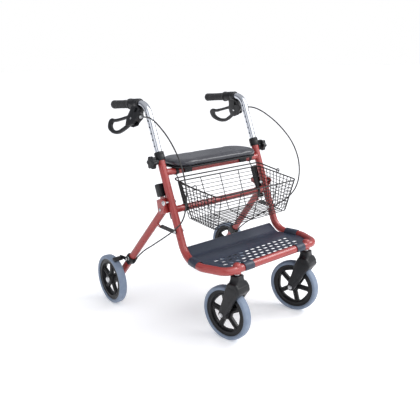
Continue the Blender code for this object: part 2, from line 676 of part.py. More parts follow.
def make_height_clamp(name, side, finishes):
    """A plastic collar on the upright's top, and the star knob whose screw grips the handle tube."""
    turn = Matrix((UP_U, Vector((1, 0, 0)), UP_U.cross(Vector((1, 0, 0))))).transposed().to_4x4()
    top = at((GAUGE, COLLAR_Y, COLLAR_Z), side) @ turn
    bore, wide = HANDLE_R + GAP, FRAME_R + GAP
    sleeve = [(bore, 0.0003), (bore, 0.0120), (0.0165, 0.0120), (0.0180, 0.0090), (0.0180, -0.0200),
              (wide, -0.0200), (wide, 0.0003)]
    collar = add_object(f"clamp_collar_{name}", turned(sleeve, 16, ring=True), finishes["plastic"], top)
    boss = rod(0.0100, FRAME_R + 0.0015, 0.0290, 12)
    join(collar, tool(f"clamp_boss_{name}", boss, across(KNOB_AT, side)))
    cut(collar, tool(f"screw_hole_{name}", rod(0.0030 + GAP, 0.010, 0.04, 10), across(KNOB_AT, side)))

    star = [math.radians(i * 15) for i in range(24)]
    outline = [((0.0215 + 0.0026 * math.cos(6 * a)) * math.cos(a), (0.0215 + 0.0026 * math.cos(6 * a)) * math.sin(a))
               for a in star]
    knob = add_object(f"height_knob_{name}", prism(outline, 0.0300, 0.0480), finishes["plastic"],
                      across(KNOB_AT, side))
    beveled(knob, 0.002)
    join(knob, tool(f"knob_screw_{name}", rod(0.0030, FRAME_R + 0.0008, 0.0320, 10), across(KNOB_AT, side)))


# ---------------------------------------------------------------- rear legs
STRUT_X = (0.2556, 0.2586)
STRUT_END = Vector((0, 0.0125, 0.3705))
LUG_X = (0.2592, 0.2632)


def strut_axes():
    start = Vector((0, upright_y(STRUT_BOLT_Z), STRUT_BOLT_Z))
    along = (STRUT_END - start).normalized()
    return start, along, Vector((0, -along.z, along.y))


def make_strut(name, side, finish):
    """A flat bar that turns on the upright's bolt; its open notch lies under the leg's stud."""
    start, along, above = strut_axes()
    length = (STRUT_END - start).length
    half = 0.0080
    outline = arc((0, 0), half, 90, 270, 6) + arc((length, 0), half, -90, 30, 5)
    outline += [(length + 0.0045, 0.0038)] + arc((length, 0), 0.0037, 0, -180, 5) + [(length - 0.0125, half)]
    shape = prism(outline, STRUT_X[0], STRUT_X[1], (along, above, Vector((side, 0, 0))))
    bmesh.ops.translate(shape, verts=shape.verts, vec=start)
    strut = add_object(f"strut_{name}", shape, finish)
    hole = rod(BOLT_R + GAP, 0.0, 0.04, 10)
    cut(strut, tool(f"strut_hole_{name}", hole, across((GAUGE, start.y, start.z), side)))


def make_rear_leg(name, side, finish):
    path = mirrored([HINGE, leg_point(LEG_LENGTH + 0.020)], side)
    leg = add_object(f"rear_leg_{name}", swept(path, FRAME_R, round_start=True), finish)
    near = leg_point(0.075)
    lug = [(near.y + 0.004, near.z + 0.010), (STRUT_END.y - 0.001, STRUT_END.z + 0.0065),
           (STRUT_END.y - 0.0055, STRUT_END.z - 0.0015), (STRUT_END.y + 0.0015, STRUT_END.z - 0.0060),
           (near.y + 0.010, near.z - 0.006)]
    join(leg, tool(f"lug_{name}", prism(lug, LUG_X[0], LUG_X[1], plane_axes(side))))
    stud = rod(0.0030, STRUT_X[0] - 0.0005, LUG_X[0] + 0.002, 10)
    join(leg, tool(f"stud_{name}", stud, across((0, STRUT_END.y, STRUT_END.z), side)))
    cut(leg, tool(f"hinge_hole_{name}", rod(0.0040 + GAP, -0.03, 0.03, 10), across(HINGE, side)))
    cut(leg, tool(f"axle_hole_{name}", rod(0.0045 + GAP, -0.07, 0.03, 12), rear_wheel_place(side)))


def plane_axes(side):
    return Vector((0, 1, 0)), Vector((0, 0, 1)), Vector((side, 0, 0))


def rear_wheel_place(side):
    """At the wheel's centre, with local X outwards along its axle."""
    return at(REAR_AXLE, side) @ Matrix.Rotation(REAR_TOE * side, 4, "Z") @ across((0, 0, 0), side)


ARM_PIVOT = leg_point(0.310)
ARM_X = (0.3010, 0.3050)
SHOE_ANGLE = 116
SHOE_GAP = 0.0040


def leg_place(distance, side):
    """On the leg's centre line, local X down along it."""
    down = (leg_point(1.0) - leg_point(0.0)).normalized()
    down.x *= side
    outwards = Vector((side, 0, 0))
    outwards = (outwards - down * outwards.dot(down)).normalized()
    turn = Matrix((down, outwards, down.cross(outwards))).transposed().to_4x4()
    return at(leg_point(distance), side) @ turn


def make_rear_brake(name, side, finishes):
    """A clamp on the leg, and an arm that swings its shoe onto the tyre."""
    block = rounded_rectangle((-0.0175, -0.0175), (0.0175, 0.0175), 0.008, 3)
    shape = prism(block, -0.018, 0.016, (Vector((0, 1, 0)), Vector((0, 0, 1)), Vector((1, 0, 0))))
    bracket = add_object(f"brake_bracket_{name}", shape, finishes["plastic"], leg_place(BRAKE_AT, side))
    sleeve = swept(mirrored([leg_point(BRAKE_AT - 0.06), leg_point(BRAKE_AT + 0.06)], side), FRAME_R + GAP)
    pivot = Vector((0, ARM_PIVOT.y, ARM_PIVOT.z))
    pin = turned([(0, 0.2935), (0.0040, 0.2935), (0.0040, 0.3060), (0.0062, 0.3060), (0.0062, 0.3078), (0, 0.3078)], 12)
    join(bracket, tool(f"arm_pin_{name}", pin, across(pivot, side)))
    distance, forward = CABLE_STOP
    stop = [leg_point(distance + GAP + length) + LEG_FRONT * forward for length in (0, 0.016)]
    join(bracket, tool(f"cable_stop_{name}", swept(mirrored(stop, side), 0.0045, 10)))
    cut(bracket, tool(f"leg_room_{name}", sleeve))

    angle = math.radians(SHOE_ANGLE)
    radial = Vector((0, math.cos(angle), math.sin(angle)))
    tangent = Vector((0, -radial.z, radial.y))
    axle = Vector((0, REAR_AXLE.y, REAR_AXLE.z))
    low, high = WHEEL_R + SHOE_GAP, WHEEL_R + SHOE_GAP + 0.010
    corners = [(low, -0.010), (low + 0.0006, 0.010), (high, 0.008), (high, -0.008)]
    shoe = [axle + radial * r + tangent * t for r, t in corners]
    heel = shoe[3]
    arm = arc((pivot.y, pivot.z), 0.0085, 60, 300, 8) + [(shoe[0].y, shoe[0].z), (heel.y + 0.004, heel.z + 0.002)]
    swing = add_object(f"brake_arm_{name}", prism(arm, ARM_X[0], ARM_X[1], plane_axes(side)), finishes["plastic"])
    pad = [(point.y, point.z) for point in shoe]
    join(swing, tool(f"shoe_{name}", prism(pad, ARM_X[0] + 0.0005, 0.3400, plane_axes(side))))
    cut(swing, tool(f"arm_hole_{name}", rod(0.0040 + GAP, 0.28, 0.32, 12), across(pivot, side)))


# ---------------------------------------------------------------- wheels
# How far each wheel stands turned, in degrees: whole facets, so that one still lies on the floor.
WHEEL_TURN = {("rear", "L"): -30, ("rear", "R"): -30, ("caster", "L"): -15, ("caster", "R"): -45}


def rim_shape():
    half = [(0.0048, 0.0165), (0.0190, 0.0165), (0.0190, 0.0065), (0.0670, 0.0065), (0.0690, 0.0120), (RIM_R, 0.0120)]
    return turned(half + [(r, -x) for r, x in reversed(half)], WHEEL_STEPS, ring=True)


def window_shape():
    """Five rounded wedges between the spokes."""
    shape = bmesh.new()
    for spoke in range(5):
        middle = 90 + spoke * 72
        outline = arc((0, 0), 0.0645, middle - 31, middle + 31, 5) + arc((0, 0), 0.0260, middle + 22, middle - 22, 2)
        piece = prism(outline, -0.02, 0.02)
        bmesh.ops.recalc_face_normals(piece, faces=piece.faces)
        mesh = bpy.data.meshes.new("window")
        piece.to_mesh(mesh)
        piece.free()
        shape.from_mesh(mesh)
        bpy.data.meshes.remove(mesh)
    return shape


def tyre_shape():
    """Outer points sit on the facets' corners, so each facet's middle touches the wheel's radius."""
    swell = 1 / math.cos(math.pi / WHEEL_STEPS)
    half = [(TYRE_INNER_R, 0.0120), (0.0900, TYRE_HALF_WIDTH), (0.0950, TYRE_HALF_WIDTH), (WHEEL_R * swell, 0.0085)]
    return turned(half + [(r, -x) for r, x in reversed(half)], WHEEL_STEPS, ring=True)


def make_wheel(kind, name, place, finishes):
    place = place @ Matrix.Rotation(math.radians(WHEEL_TURN[kind, name]), 4, "X")
    rim = add_object(f"{kind}_rim_{name}", rim_shape(), finishes["rim"], place)
    cut(rim, tool(f"{kind}_windows_{name}", window_shape(), place))
    add_object(f"{kind}_tyre_{name}", tyre_shape(), finishes["tyre"], place)


def make_rear_axle(name, side, finish):
    shape = turned([
        (0, -0.0560), (0.0080, -0.0560), (0.0080, -0.0500), (0.0045, -0.0500), (0.0045, -0.0185), (0.0075, -0.0185),
        (0.0075, -0.0168), (0.0045, -0.0168), (0.0045, 0.0168), (0.0125, 0.0168), (0.0125, 0.0205), (0.0085, 0.0240),
        (0, 0.0250),
    ], 12)
    add_object(f"rear_axle_{name}", shape, finish, rear_wheel_place(side))


FORK_HALF = 0.0325
FORK_TOP = 0.2540


def make_caster(name, side, finishes):
    swivel = at(STEM, side) @ Matrix.Rotation(CASTER_YAW[name], 4, "Z")
    wheel = swivel @ at((0, CASTER_TRAIL, WHEEL_R))
    up = swivel @ Matrix.Rotation(-math.pi / 2, 4, "Y")

    outline = [(-0.0190, 0.2300), (-0.0330, 0.2150), (-0.0345, 0.1980), (-0.0250, 0.1740)]
    outline += arc((CASTER_TRAIL, WHEEL_R), 0.0155, 205, 370, 6)
    outline += [(0.0430, 0.1600), (0.0310, 0.2030), (0.0175, 0.2300)]
    fork = add_object(f"caster_fork_{name}", prism(outline, -FORK_HALF, FORK_HALF), finishes["plastic"], swivel)
    beveled(fork, 0.004)
    square = rounded_rectangle((-0.0185, -0.0180), (0.0185, 0.0180), 0.0070, 2)
    join(fork, tool(f"fork_head_{name}", prism(square, 0.2150, FORK_TOP, FLAT_AXES), swivel))
    room = rod(WHEEL_R + 0.0065, -0.0195, 0.0195, 24)
    cut(fork, tool(f"wheel_room_{name}", room, wheel))
    cut(fork, tool(f"fork_bore_{name}", rod(0.0060 + GAP, 0.2300, 0.27), up))
    cut(fork, tool(f"fork_axle_hole_{name}", rod(0.0042 + GAP, -0.06, 0.06, 12), wheel))

    stem = turned([(0, 0.2310), (0.0060, 0.2310), (0.0060, FORK_TOP + GAP), (0.0095, FORK_TOP + GAP), (0.0095, 0.2590),
                   (0.0060, 0.2590), (0.0060, 0.2870), (0, 0.2870)], 16)
    add_object(f"caster_stem_{name}", stem, finishes["steel"], up)

    end = FORK_HALF + GAP
    bolt = turned([(0, -end - 0.004), (0.0050, -end - 0.004), (0.0070, -end - 0.002), (0.0070, -end), (0.0042, -end),
                   (0.0042, end), (0.0070, end), (0.0070, end + 0.002), (0.0050, end + 0.004), (0, end + 0.004)], 12)
    add_object(f"caster_axle_{name}", bolt, finishes["steel"], wheel)
    make_wheel("caster", name, wheel, finishes)


# ---------------------------------------------------------------- whole walker
def main():
    clear_scene()
    finishes = make_materials()
    make_front_frame(finishes["frame"])
    make_cross_tube("seat_cross_tube", SEAT_TUBE_Z, finishes["frame"])
    make_cross_tube("lower_cross_tube", LOWER_TUBE_Z, finishes["frame"])
    make_seat(finishes)
    make_tray(finishes["tray"])
    make_basket(finishes["wire"])
    make_basket_bail(finishes["wire"])
    for name, side in SIDES.items():
        make_hinge_bracket(name, side, finishes["frame"])
        make_frame_bolts(name, side, finishes["steel"])
        make_fold_release(name, side, finishes["plastic"])
        make_basket_strap(name, side, finishes["plastic"])
        make_height_clamp(name, side, finishes)
        make_handle(name, side, finishes)
        make_brake(name, side, finishes)
        make_cable(name, side, finishes["cable"])
        make_rear_leg(name, side, finishes["frame"])
        make_strut(name, side, finishes["plastic"])
        make_rear_brake(name, side, finishes)
        make_rear_axle(name, side, finishes["steel"])
        make_wheel("rear", name, rear_wheel_place(side), finishes)
        make_caster(name, side, finishes)


main()
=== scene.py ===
"""Looks of the rollator walker, built around its CAD frame.

Metres, +Z up. The walker faces -Y. Every paired piece is drawn for the left side (+X) and mirrored.
"""

import math

import bmesh
import bpy
from mathutils import Matrix, Vector


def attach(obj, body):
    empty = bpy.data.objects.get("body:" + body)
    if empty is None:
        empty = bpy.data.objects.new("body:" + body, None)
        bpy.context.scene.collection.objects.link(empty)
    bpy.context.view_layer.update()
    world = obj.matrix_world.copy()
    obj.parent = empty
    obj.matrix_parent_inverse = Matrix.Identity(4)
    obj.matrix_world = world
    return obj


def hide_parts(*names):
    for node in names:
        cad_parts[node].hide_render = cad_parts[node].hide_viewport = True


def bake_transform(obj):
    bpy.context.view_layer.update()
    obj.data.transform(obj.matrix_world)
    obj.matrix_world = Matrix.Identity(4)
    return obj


# ---------------------------------------------------------------- dimensions, as in the CAD
SIDES = {"L": 1, "R": -1}
FLAT = Matrix.Identity(4)

WHEEL_R = 0.1
REAR_AXLE = Vector((0.325, 0.273, WHEEL_R))
REAR_TOE = math.radians(3)
STEM = Vector((0.18, -0.32, 0.0))
CASTER_TRAIL = 0.047
CASTER_YAW = {"L": math.radians(12), "R": math.radians(7)}

FRAME_R = 0.0143
HANDLE_R = 0.0127
CROSS_R = 0.0127
GAUGE = 0.239
LEAN = math.radians(21)
COLLAR_Y, COLLAR_Z = 0.023, 0.63
LOOP_Z = 0.275
FRONT_BAR_Y = -0.322
SEAT_TUBE_Z = 0.569
LOWER_TUBE_Z = 0.44

HINGE = Vector((0.253, -0.015, 0.44))
FOLD_X_SLOPE = 0.0857
STRUT_BOLT_Z = 0.367
BRACKET_BOLT_Z = 0.469
INNER_PLATE = (0.2345, 0.238)
OUTER_PLATE = (0.2694, 0.2729)
WEB_V = FRAME_R + 0.0006

GRIP_ORIGIN = Vector((GAUGE, 0.123, 0.8085))
GRIP_DROOP = math.radians(4)
BRAKE_TILT = math.radians(19)

UP_U = Vector((0, math.sin(LEAN), math.cos(LEAN)))
UP_V = Vector((0, math.cos(LEAN), -math.sin(LEAN)))
OUT = Vector((1, 0, 0))
GRIP_A = Vector((0, math.cos(GRIP_DROOP), -math.sin(GRIP_DROOP)))


def upright_y(z):
    return COLLAR_Y + (z - COLLAR_Z) * math.tan(LEAN)


def upright_at(z):
    return Vector((GAUGE, upright_y(z), z))


# ---------------------------------------------------------------- material helpers
def start_material(name, roughness, metallic=0.0):
    """A new material: itself, its node tree, its shader and the object coordinates."""
    made = bpy.data.materials.new(name)
    made.use_nodes = True
    tree = made.node_tree
    shader = tree.nodes["Principled BSDF"]
    shader.inputs["Roughness"].default_value = roughness
    shader.inputs["Metallic"].default_value = metallic
    coordinates = tree.nodes.new("ShaderNodeTexCoord").outputs["Object"]
    return made, tree, shader, coordinates


def stretched(tree, coordinates, stretch):
    mapping = tree.nodes.new("ShaderNodeMapping")
    mapping.inputs["Scale"].default_value = stretch
    tree.links.new(coordinates, mapping.inputs["Vector"])
    return mapping.outputs["Vector"]


def noise(tree, coordinates, scale, detail=4.0):
    texture = tree.nodes.new("ShaderNodeTexNoise")
    texture.inputs["Scale"].default_value = scale
    texture.inputs["Detail"].default_value = detail
    tree.links.new(coordinates, texture.inputs["Vector"])
    return texture.outputs["Fac"]


def cells(tree, coordinates, scale):
    texture = tree.nodes.new("ShaderNodeTexVoronoi")
    texture.inputs["Scale"].default_value = scale
    tree.links.new(coordinates, texture.inputs["Vector"])
    return texture.outputs["Distance"]


def spread(tree, factor, low, high):
    """The middle of a noise factor's range, spread over low to high."""
    spreading = tree.nodes.new("ShaderNodeMapRange")
    spreading.inputs["From Min"].default_value = 0.3
    spreading.inputs["From Max"].default_value = 0.7
    spreading.inputs["To Min"].default_value = low
    spreading.inputs["To Max"].default_value = high
    tree.links.new(factor, spreading.inputs["Value"])
    return spreading.outputs["Result"]


def two_tone(tree, shader, factor, first, second):
    mixing = tree.nodes.new("ShaderNodeMix")
    mixing.data_type = "RGBA"
    mixing.inputs["A"].default_value = (*first, 1.0)
    mixing.inputs["B"].default_value = (*second, 1.0)
    tree.links.new(factor, mixing.inputs["Factor"])
    tree.links.new(mixing.outputs["Result"], shader.inputs["Base Color"])


def relief(tree, shader, height, depth, strength):
    bump = tree.nodes.new("ShaderNodeBump")
    bump.inputs["Distance"].default_value = depth
    bump.inputs["Strength"].default_value = strength
    tree.links.new(height, bump.inputs["Height"])
    tree.links.new(bump.outputs["Normal"], shader.inputs["Normal"])


def added(tree, first, second, weight):
    combining = tree.nodes.new("ShaderNodeMath")
    combining.operation = "MULTIPLY_ADD"
    combining.inputs[1].default_value = weight
    tree.links.new(second, combining.inputs[0])
    tree.links.new(first, combining.inputs[2])
    return combining.outputs["Value"]


# ---------------------------------------------------------------- materials
def finish(name, tones, tone_scale, gloss, gloss_scale, gloss_detail=4.0, metallic=0.0, **surface):
    """A material whose colour and roughness drift between two values. Surface holds uniform socket values."""
    made, tree, shader, at = start_material(name, gloss[0], metallic)
    for socket, value in surface.items():
        shader.inputs[socket.replace("_", " ")].default_value = value
    two_tone(tree, shader, spread(tree, noise(tree, at, tone_scale), 0, 1), *tones)
    tree.links.new(spread(tree, noise(tree, at, gloss_scale, gloss_detail), *gloss), shader.inputs["Roughness"])
    return made, tree, shader, at


def red_paint():
    made, tree, shader, at = finish("red_paint", ((0.29, 0.027, 0.025), (0.33, 0.035, 0.031)), 26,
                                    (0.26, 0.4), 60, Coat_Weight=0.45, Coat_Roughness=0.22)
    relief(tree, shader, noise(tree, at, 420, 2), 0.0002, 0.12)
    return made


def chrome():
    made, tree, shader, at = start_material("chrome", 0.1, 1.0)
    smears = noise(tree, at, 40, 2)
    two_tone(tree, shader, spread(tree, smears, 0, 1), (0.53, 0.55, 0.59), (0.59, 0.61, 0.65))
    tree.links.new(spread(tree, smears, 0.1, 0.17), shader.inputs["Roughness"])
    return made


def zinc():
    made, tree, shader, at = start_material("zinc_plate", 0.3, 1.0)
    grain = noise(tree, stretched(tree, at, (0.1, 1, 1)), 900)
    two_tone(tree, shader, spread(tree, noise(tree, at, 150), 0, 1), (0.52, 0.53, 0.55), (0.68, 0.68, 0.68))
    tree.links.new(spread(tree, grain, 0.24, 0.42), shader.inputs["Roughness"])
    relief(tree, shader, grain, 0.0001, 0.15)
    return made


def moulded_plastic():
    made, tree, shader, at = finish("moulded_plastic", ((0.0045, 0.0048, 0.0062), (0.0085, 0.009, 0.0112)), 45,
                                    (0.34, 0.5), 80, Specular_IOR_Level=0.38)
    relief(tree, shader, cells(tree, at, 1500), 0.0001, 0.25)
    return made


def nylon():
    made, tree, shader, at = finish("black_nylon", ((0.0035, 0.0035, 0.0045), (0.0065, 0.0065, 0.008)), 70,
                                    (0.28, 0.44), 120, Specular_IOR_Level=0.3)
    relief(tree, shader, noise(tree, at, 1400, 2), 0.0001, 0.15)
    return made


def tray_plastic():
    made, tree, shader, at = finish("tray_plastic", ((0.024, 0.032, 0.053), (0.028, 0.037, 0.06)), 18,
                                    (0.34, 0.42), 30, 2, Specular_IOR_Level=0.42)
    relief(tree, shader, cells(tree, at, 1300), 0.00006, 0.2)
    return made


def grip_rubber():
    made, tree, shader, at = finish("grip_rubber", ((0.008, 0.008, 0.009), (0.016, 0.016, 0.018)), 55,
                                    (0.58, 0.8), 90, Sheen_Weight=0.15)
    relief(tree, shader, cells(tree, at, 800), 0.0004, 0.5)
    return made


def tyre_rubber():
    made, tree, shader, at = finish("tyre_rubber", ((0.158, 0.204, 0.284), (0.196, 0.244, 0.326)), 48,
                                    (0.52, 0.72), 75, Sheen_Weight=0.1)
    relief(tree, shader, noise(tree, at, 1100, 3), 0.0002, 0.35)
    return made


def seat_vinyl():
    made, tree, shader, at = finish("seat_vinyl", ((0.014, 0.015, 0.023), (0.021, 0.022, 0.032)), 30,
                                    (0.26, 0.38), 22, Sheen_Weight=0.12, Coat_Weight=0.35, Coat_Roughness=0.28)
    wrinkles = noise(tree, stretched(tree, at, (1, 2.2, 1)), 55, 6)
    relief(tree, shader, added(tree, cells(tree, at, 620), wrinkles, 0.9), 0.0006, 0.35)
    return made


def wire_coating():
    made, tree, shader, at = finish("wire_coating", ((0.004, 0.004, 0.0045), (0.008, 0.008, 0.009)), 60,
                                    (0.26, 0.42), 140, Specular_IOR_Level=0.3)
    relief(tree, shader, noise(tree, at, 700, 2), 0.0001, 0.2)
    return made


def cable_sleeve():
    made, tree, shader, at = finish("cable_sleeve", ((0.009, 0.009, 0.01), (0.02, 0.018, 0.018)), 90,
                                    (0.42, 0.58), 160)
    relief(tree, shader, noise(tree, at, 1500, 2), 0.0001, 0.3)
    return made


FINISHES = {
    "frame": red_paint(),
    "chrome": chrome(),
    "steel": zinc(),
    "plastic": moulded_plastic(),
    "tray": tray_plastic(),
    "grip": grip_rubber(),
    "tyre": tyre_rubber(),
    "rim": nylon(),
    "vinyl": seat_vinyl(),
    "wire": wire_coating(),
    "cable": cable_sleeve(),
}


# ---------------------------------------------------------------- shape helpers
def merged(*shapes):
    """Several shapes in one. The given ones are used up."""
    whole = bmesh.new()
    for shape in shapes:
        mesh = bpy.data.meshes.new("part")
        shape.to_mesh(mesh)
        shape.free()
        whole.from_mesh(mesh)
        bpy.data.meshes.remove(mesh)
    return whole


def moved(shape, place):
    bmesh.ops.transform(shape, matrix=place, verts=shape.verts)
    return shape


def on_side(shape, side):
    """The shape, drawn on the left, put on its own side."""
    if side < 0:
        bmesh.ops.scale(shape, vec=(-1, 1, 1), verts=shape.verts)
    return shape


def point_on_side(point, side):
    return Vector((point.x * side, point.y, point.z))


def as_object(name, shape):
    bmesh.ops.remove_doubles(shape, verts=shape.verts, dist=1e-6)
    bmesh.ops.recalc_face_normals(shape, faces=shape.faces)
    mesh = bpy.data.meshes.new(name)
    shape.to_mesh(mesh)
    shape.free()
    made = bpy.data.objects.new(name, mesh)
    bpy.context.scene.collection.objects.link(made)
    return made


def as_shape(thing):
    """The object's final shape, with its modifiers. The object is used up."""
    bpy.context.view_layer.update()
    mesh = bpy.data.meshes.new_from_object(thing.evaluated_get(bpy.context.evaluated_depsgraph_get()))
    shape = bmesh.new()
    shape.from_mesh(mesh)
    bpy.data.objects.remove(thing)
    bpy.data.meshes.remove(mesh)
    return shape


def without(shape, *cutters):
    """The shape with the cutters' shapes taken away."""
    thing = as_object("cutting", shape)
    tools = [as_object("cutter", cutter) for cutter in cutters]
    for tool in tools:
        step = thing.modifiers.new("cut", "BOOLEAN")
        step.operation = "DIFFERENCE"
        step.object = tool
    result = as_shape(thing)
    for tool in tools:
        bpy.data.objects.remove(tool)
    return result


def softened(shape, width, segments=2, angle=35):
    thing = as_object("softening", shape)
    bevel = thing.modifiers.new("soften", "BEVEL")
    bevel.width = width
    bevel.segments = segments
    bevel.limit_method = "ANGLE"
    bevel.angle_limit = math.radians(angle)
    return as_shape(thing)


def piece(name, shape, slot, body, stands_for=(), side=1, sharp=38):
    """A visible piece of one material, on a body, in the place of CAD nodes."""
    made = as_object(name, on_side(shape, side))
    made.data.shade_smooth()
    made.data.set_sharp_from_angle(angle=math.radians(sharp))
    made.data.materials.append(FINISHES[slot])
    if stands_for:
        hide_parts(*stands_for)
    if body:
        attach(made, body)
    return made


def turned(profile, steps=48, ring=False):
    """A solid of revolution about X. The profile is (radius, x) points; ring closes it on itself."""
    shape = bmesh.new()
    rows = []
    for radius, along in profile:
        if radius < 1e-9:
            rows.append([shape.verts.new((along, 0, 0))] * steps)
            continue
        angles = [2 * math.pi * i / steps for i in range(steps)]
        rows.append([shape.verts.new((along, radius * math.cos(a), radius * math.sin(a))) for a in angles])
    pairs = list(zip(rows, rows[1:]))
    if ring:
        pairs.append((rows[-1], rows[0]))
    for first, second in pairs:
        for i in range(steps):
            corners = [first[i], first[(i + 1) % steps], second[(i + 1) % steps], second[i]]
            face = list(dict.fromkeys(corners))
            if len(face) > 2:
                shape.faces.new(face)
    return shape


def both_ways(half):
    """A ring's whole profile, from the half on its +X side. Points on the middle line aren't doubled."""
    return half + [(radius, -x) for radius, x in reversed(half) if x > 0]


def bar(radius, start, end, soft=0.0006, steps=32):
    """A round bar along X with slightly rounded ends."""
    return turned([
        (0, start), (radius - soft, start), (radius - soft * 0.3, start + soft * 0.3), (radius, start + soft),
        (radius, end - soft), (radius - soft * 0.3, end - soft * 0.3), (radius - soft, end), (0, end),
    ], steps)


def swept(path, radius, sides=32, closed=False, ripple=0.0):
    """A round tube along a path. Ripple varies its radius, as along a weld bead."""
    points = [Vector(point) for point in path]
    count = len(points)
    tangents = []
    for i in range(count):
        before = points[i - 1] if i or closed else points[i]
        after = points[(i + 1) % count] if i < count - 1 or closed else points[i]
        tangents.append((after - before).normalized())
    side = tangents[0].orthogonal().normalized()
    shape = bmesh.new()
    rings = []
    for i, (tangent, point) in enumerate(zip(tangents, points)):
        side = (side - tangent * side.dot(tangent)).normalized()
        up = tangent.cross(side)
        size = radius * (1 + ripple * math.sin(i * 2.1))
        angles = [2 * math.pi * k / sides for k in range(sides)]
        rings.append([shape.verts.new(point + (side * math.cos(a) + up * math.sin(a)) * size) for a in angles])
    for first, second in zip(rings, rings[1:]):
        for k in range(sides):
            shape.faces.new((first[k], first[(k + 1) % sides], second[(k + 1) % sides], second[k]))
    if closed:
        last, first = rings[-1], rings[0]
        shift = min(range(sides), key=lambda s: (last[0].co - first[s].co).length)
        for k in range(sides):
            a, b = (k + shift) % sides, (k + 1 + shift) % sides
            shape.faces.new((last[k], last[(k + 1) % sides], first[b], first[a]))
    else:
        shape.faces.new(rings[0])
        shape.faces.new(rings[-1])
    return shape


def rounded_path(corners, radii, steps=14):
    """Straight runs between corners, with an arc of the given radius at each inner one."""
    corners = [Vector(corner) for corner in corners]
    path = [corners[0]]
    for before, corner, after, radius in zip(corners, corners[1:], corners[2:], radii):
        one, two = (before - corner).normalized(), (after - corner).normalized()
        half = one.angle(two) / 2
        centre = corner + (one + two).normalized() * radius / math.sin(half)
        spoke_start = (corner + one * radius / math.tan(half) - centre).normalized()
        spoke_end = (corner + two * radius / math.tan(half) - centre).normalized()
        for i in range(steps + 1):
            path.append(centre + spoke_start.slerp(spoke_end, i / steps) * radius)
    path.append(corners[-1])
    return path


def smooth_route(route, step=0.006, closed=False):
    """Even points on a smooth curve through the route's points."""
    points = [Vector(point) for point in route]
    if closed:
        points = [points[-1]] + points + [points[0], points[1]]
    else:
        points = [points[0] * 2 - points[1]] + points + [points[-1] * 2 - points[-2]]
    dense = []
    for a, b, c, d in zip(points, points[1:], points[2:], points[3:]):
        for i in range(24):
            t = i / 24
            dense.append(0.5 * (b * 2 + (c - a) * t + (a * 2 - b * 5 + c * 4 - d) * t ** 2
                                + (b * 3 - a - c * 3 + d) * t ** 3))
    dense.append(points[-2])
    even, travelled = [dense[0]], 0.0
    for before, after in zip(dense, dense[1:]):
        travelled += (after - before).length
        if travelled >= step:
            even.append(after)
            travelled = 0.0
    if closed:
        return even
    even[-1] = dense[-1]
    return even


def smooth_outline(points, step=0.002):
    route = smooth_route([(x, y, 0) for x, y in points], step, closed=True)
    return [(point.x, point.y) for point in route]


def arc(centre, radius, start, end, steps=12):
    """Points of a flat arc, angles in degrees."""
    angles = [math.radians(start + (end - start) * i / steps) for i in range(steps + 1)]
    return [(centre[0] + radius * math.cos(a), centre[1] + radius * math.sin(a)) for a in angles]


def filleted(points, radius, steps=6):
    """A closed flat outline with its corners rounded."""
    corners = [Vector(point) for point in points]
    outline = []
    for before, corner, after in zip(corners[-1:] + corners[:-1], corners, corners[1:] + corners[:1]):
        one, two = (before - corner), (after - corner)
        half = one.angle(two) / 2
        if half > math.radians(86):
            outline.append(tuple(corner))
            continue
        reach = min(radius / math.tan(half), one.length * 0.48, two.length * 0.48)
        start, end = corner + one.normalized() * reach, corner + two.normalized() * reach
        for i in range(steps + 1):
            t = i / steps
            point = start * (1 - t) ** 2 + corner * 2 * t * (1 - t) + end * t ** 2
            outline.append(tuple(point))
    return outline


def rectangle(low, high):
    return [(low[0], low[1]), (high[0], low[1]), (high[0], high[1]), (low[0], high[1])]


def plate(outline, low, high, bevel=0.0006, holes=(), place=FLAT):
    """A flat plate with rounded edges, from low to high along local Z, with holes through it."""
    curve = bpy.data.curves.new("plate", "CURVE")
    curve.dimensions = "2D"
    curve.fill_mode = "BOTH"
    curve.extrude = (high - low) / 2 - bevel
    curve.bevel_depth = bevel
    curve.bevel_resolution = 2 if bevel < 0.002 else 4
    curve.offset = -bevel
    for loop in (outline, *holes):
        spline = curve.splines.new("POLY")
        spline.points.add(len(loop) - 1)
        spline.use_cyclic_u = True
        for point, (x, y) in zip(spline.points, loop):
            point.co = (x, y, 0, 1)
    made = bpy.data.objects.new("plate", curve)
    bpy.context.scene.collection.objects.link(made)
    shape = as_shape(made)
    bmesh.ops.remove_doubles(shape, verts=shape.verts, dist=1e-5)
    return moved(shape, place @ Matrix.Translation((0, 0, (low + high) / 2)))


def basis(origin, x_axis, y_axis):
    """A place with local X and Y along two square directions."""
    z_axis = x_axis.cross(y_axis)
    return Matrix.Translation(origin) @ Matrix((x_axis, y_axis, z_axis)).transposed().to_4x4()


def along_x(point):
    """A place at a point, with local X as the world's."""
    return Matrix.Translation(point)


def standing(point):
    """A place at a point, with local X pointing up."""
    return Matrix.Translation(point) @ Matrix.Rotation(-math.pi / 2, 4, "Y")


# Where outlines drawn as (y, z) go: local X is the world's Y, local Y its Z.
SIDE_VIEW = basis(Vector((0, 0, 0)), Vector((0, 1, 0)), Vector((0, 0, 1)))


def hexagon(width):
    return filleted(arc((0, 0), width / 2 / math.cos(math.pi / 6), 0, 300, 5), 0.0004, 2)


def circle(radius, centre=(0, 0)):
    """A closed circle of 36 points."""
    return arc(centre, radius, 0, 350, 35)


def on_axis(point, direction=1):
    """A place whose local Z runs outwards (or inwards) along X."""
    return basis(Vector(point), Vector((0, direction, 0)), Vector((0, 0, 1)))


def hex_head(point, width, height, direction=1):
    """A hexagonal head on a washer, standing on a face square to X."""
    place = on_axis(point, direction)
    washer = plate(circle(width * 0.62), 0.0, 0.0009, 0.0003, place=place)
    head = plate(hexagon(width), 0.0008, height, 0.0005, place=place)
    return merged(washer, head)


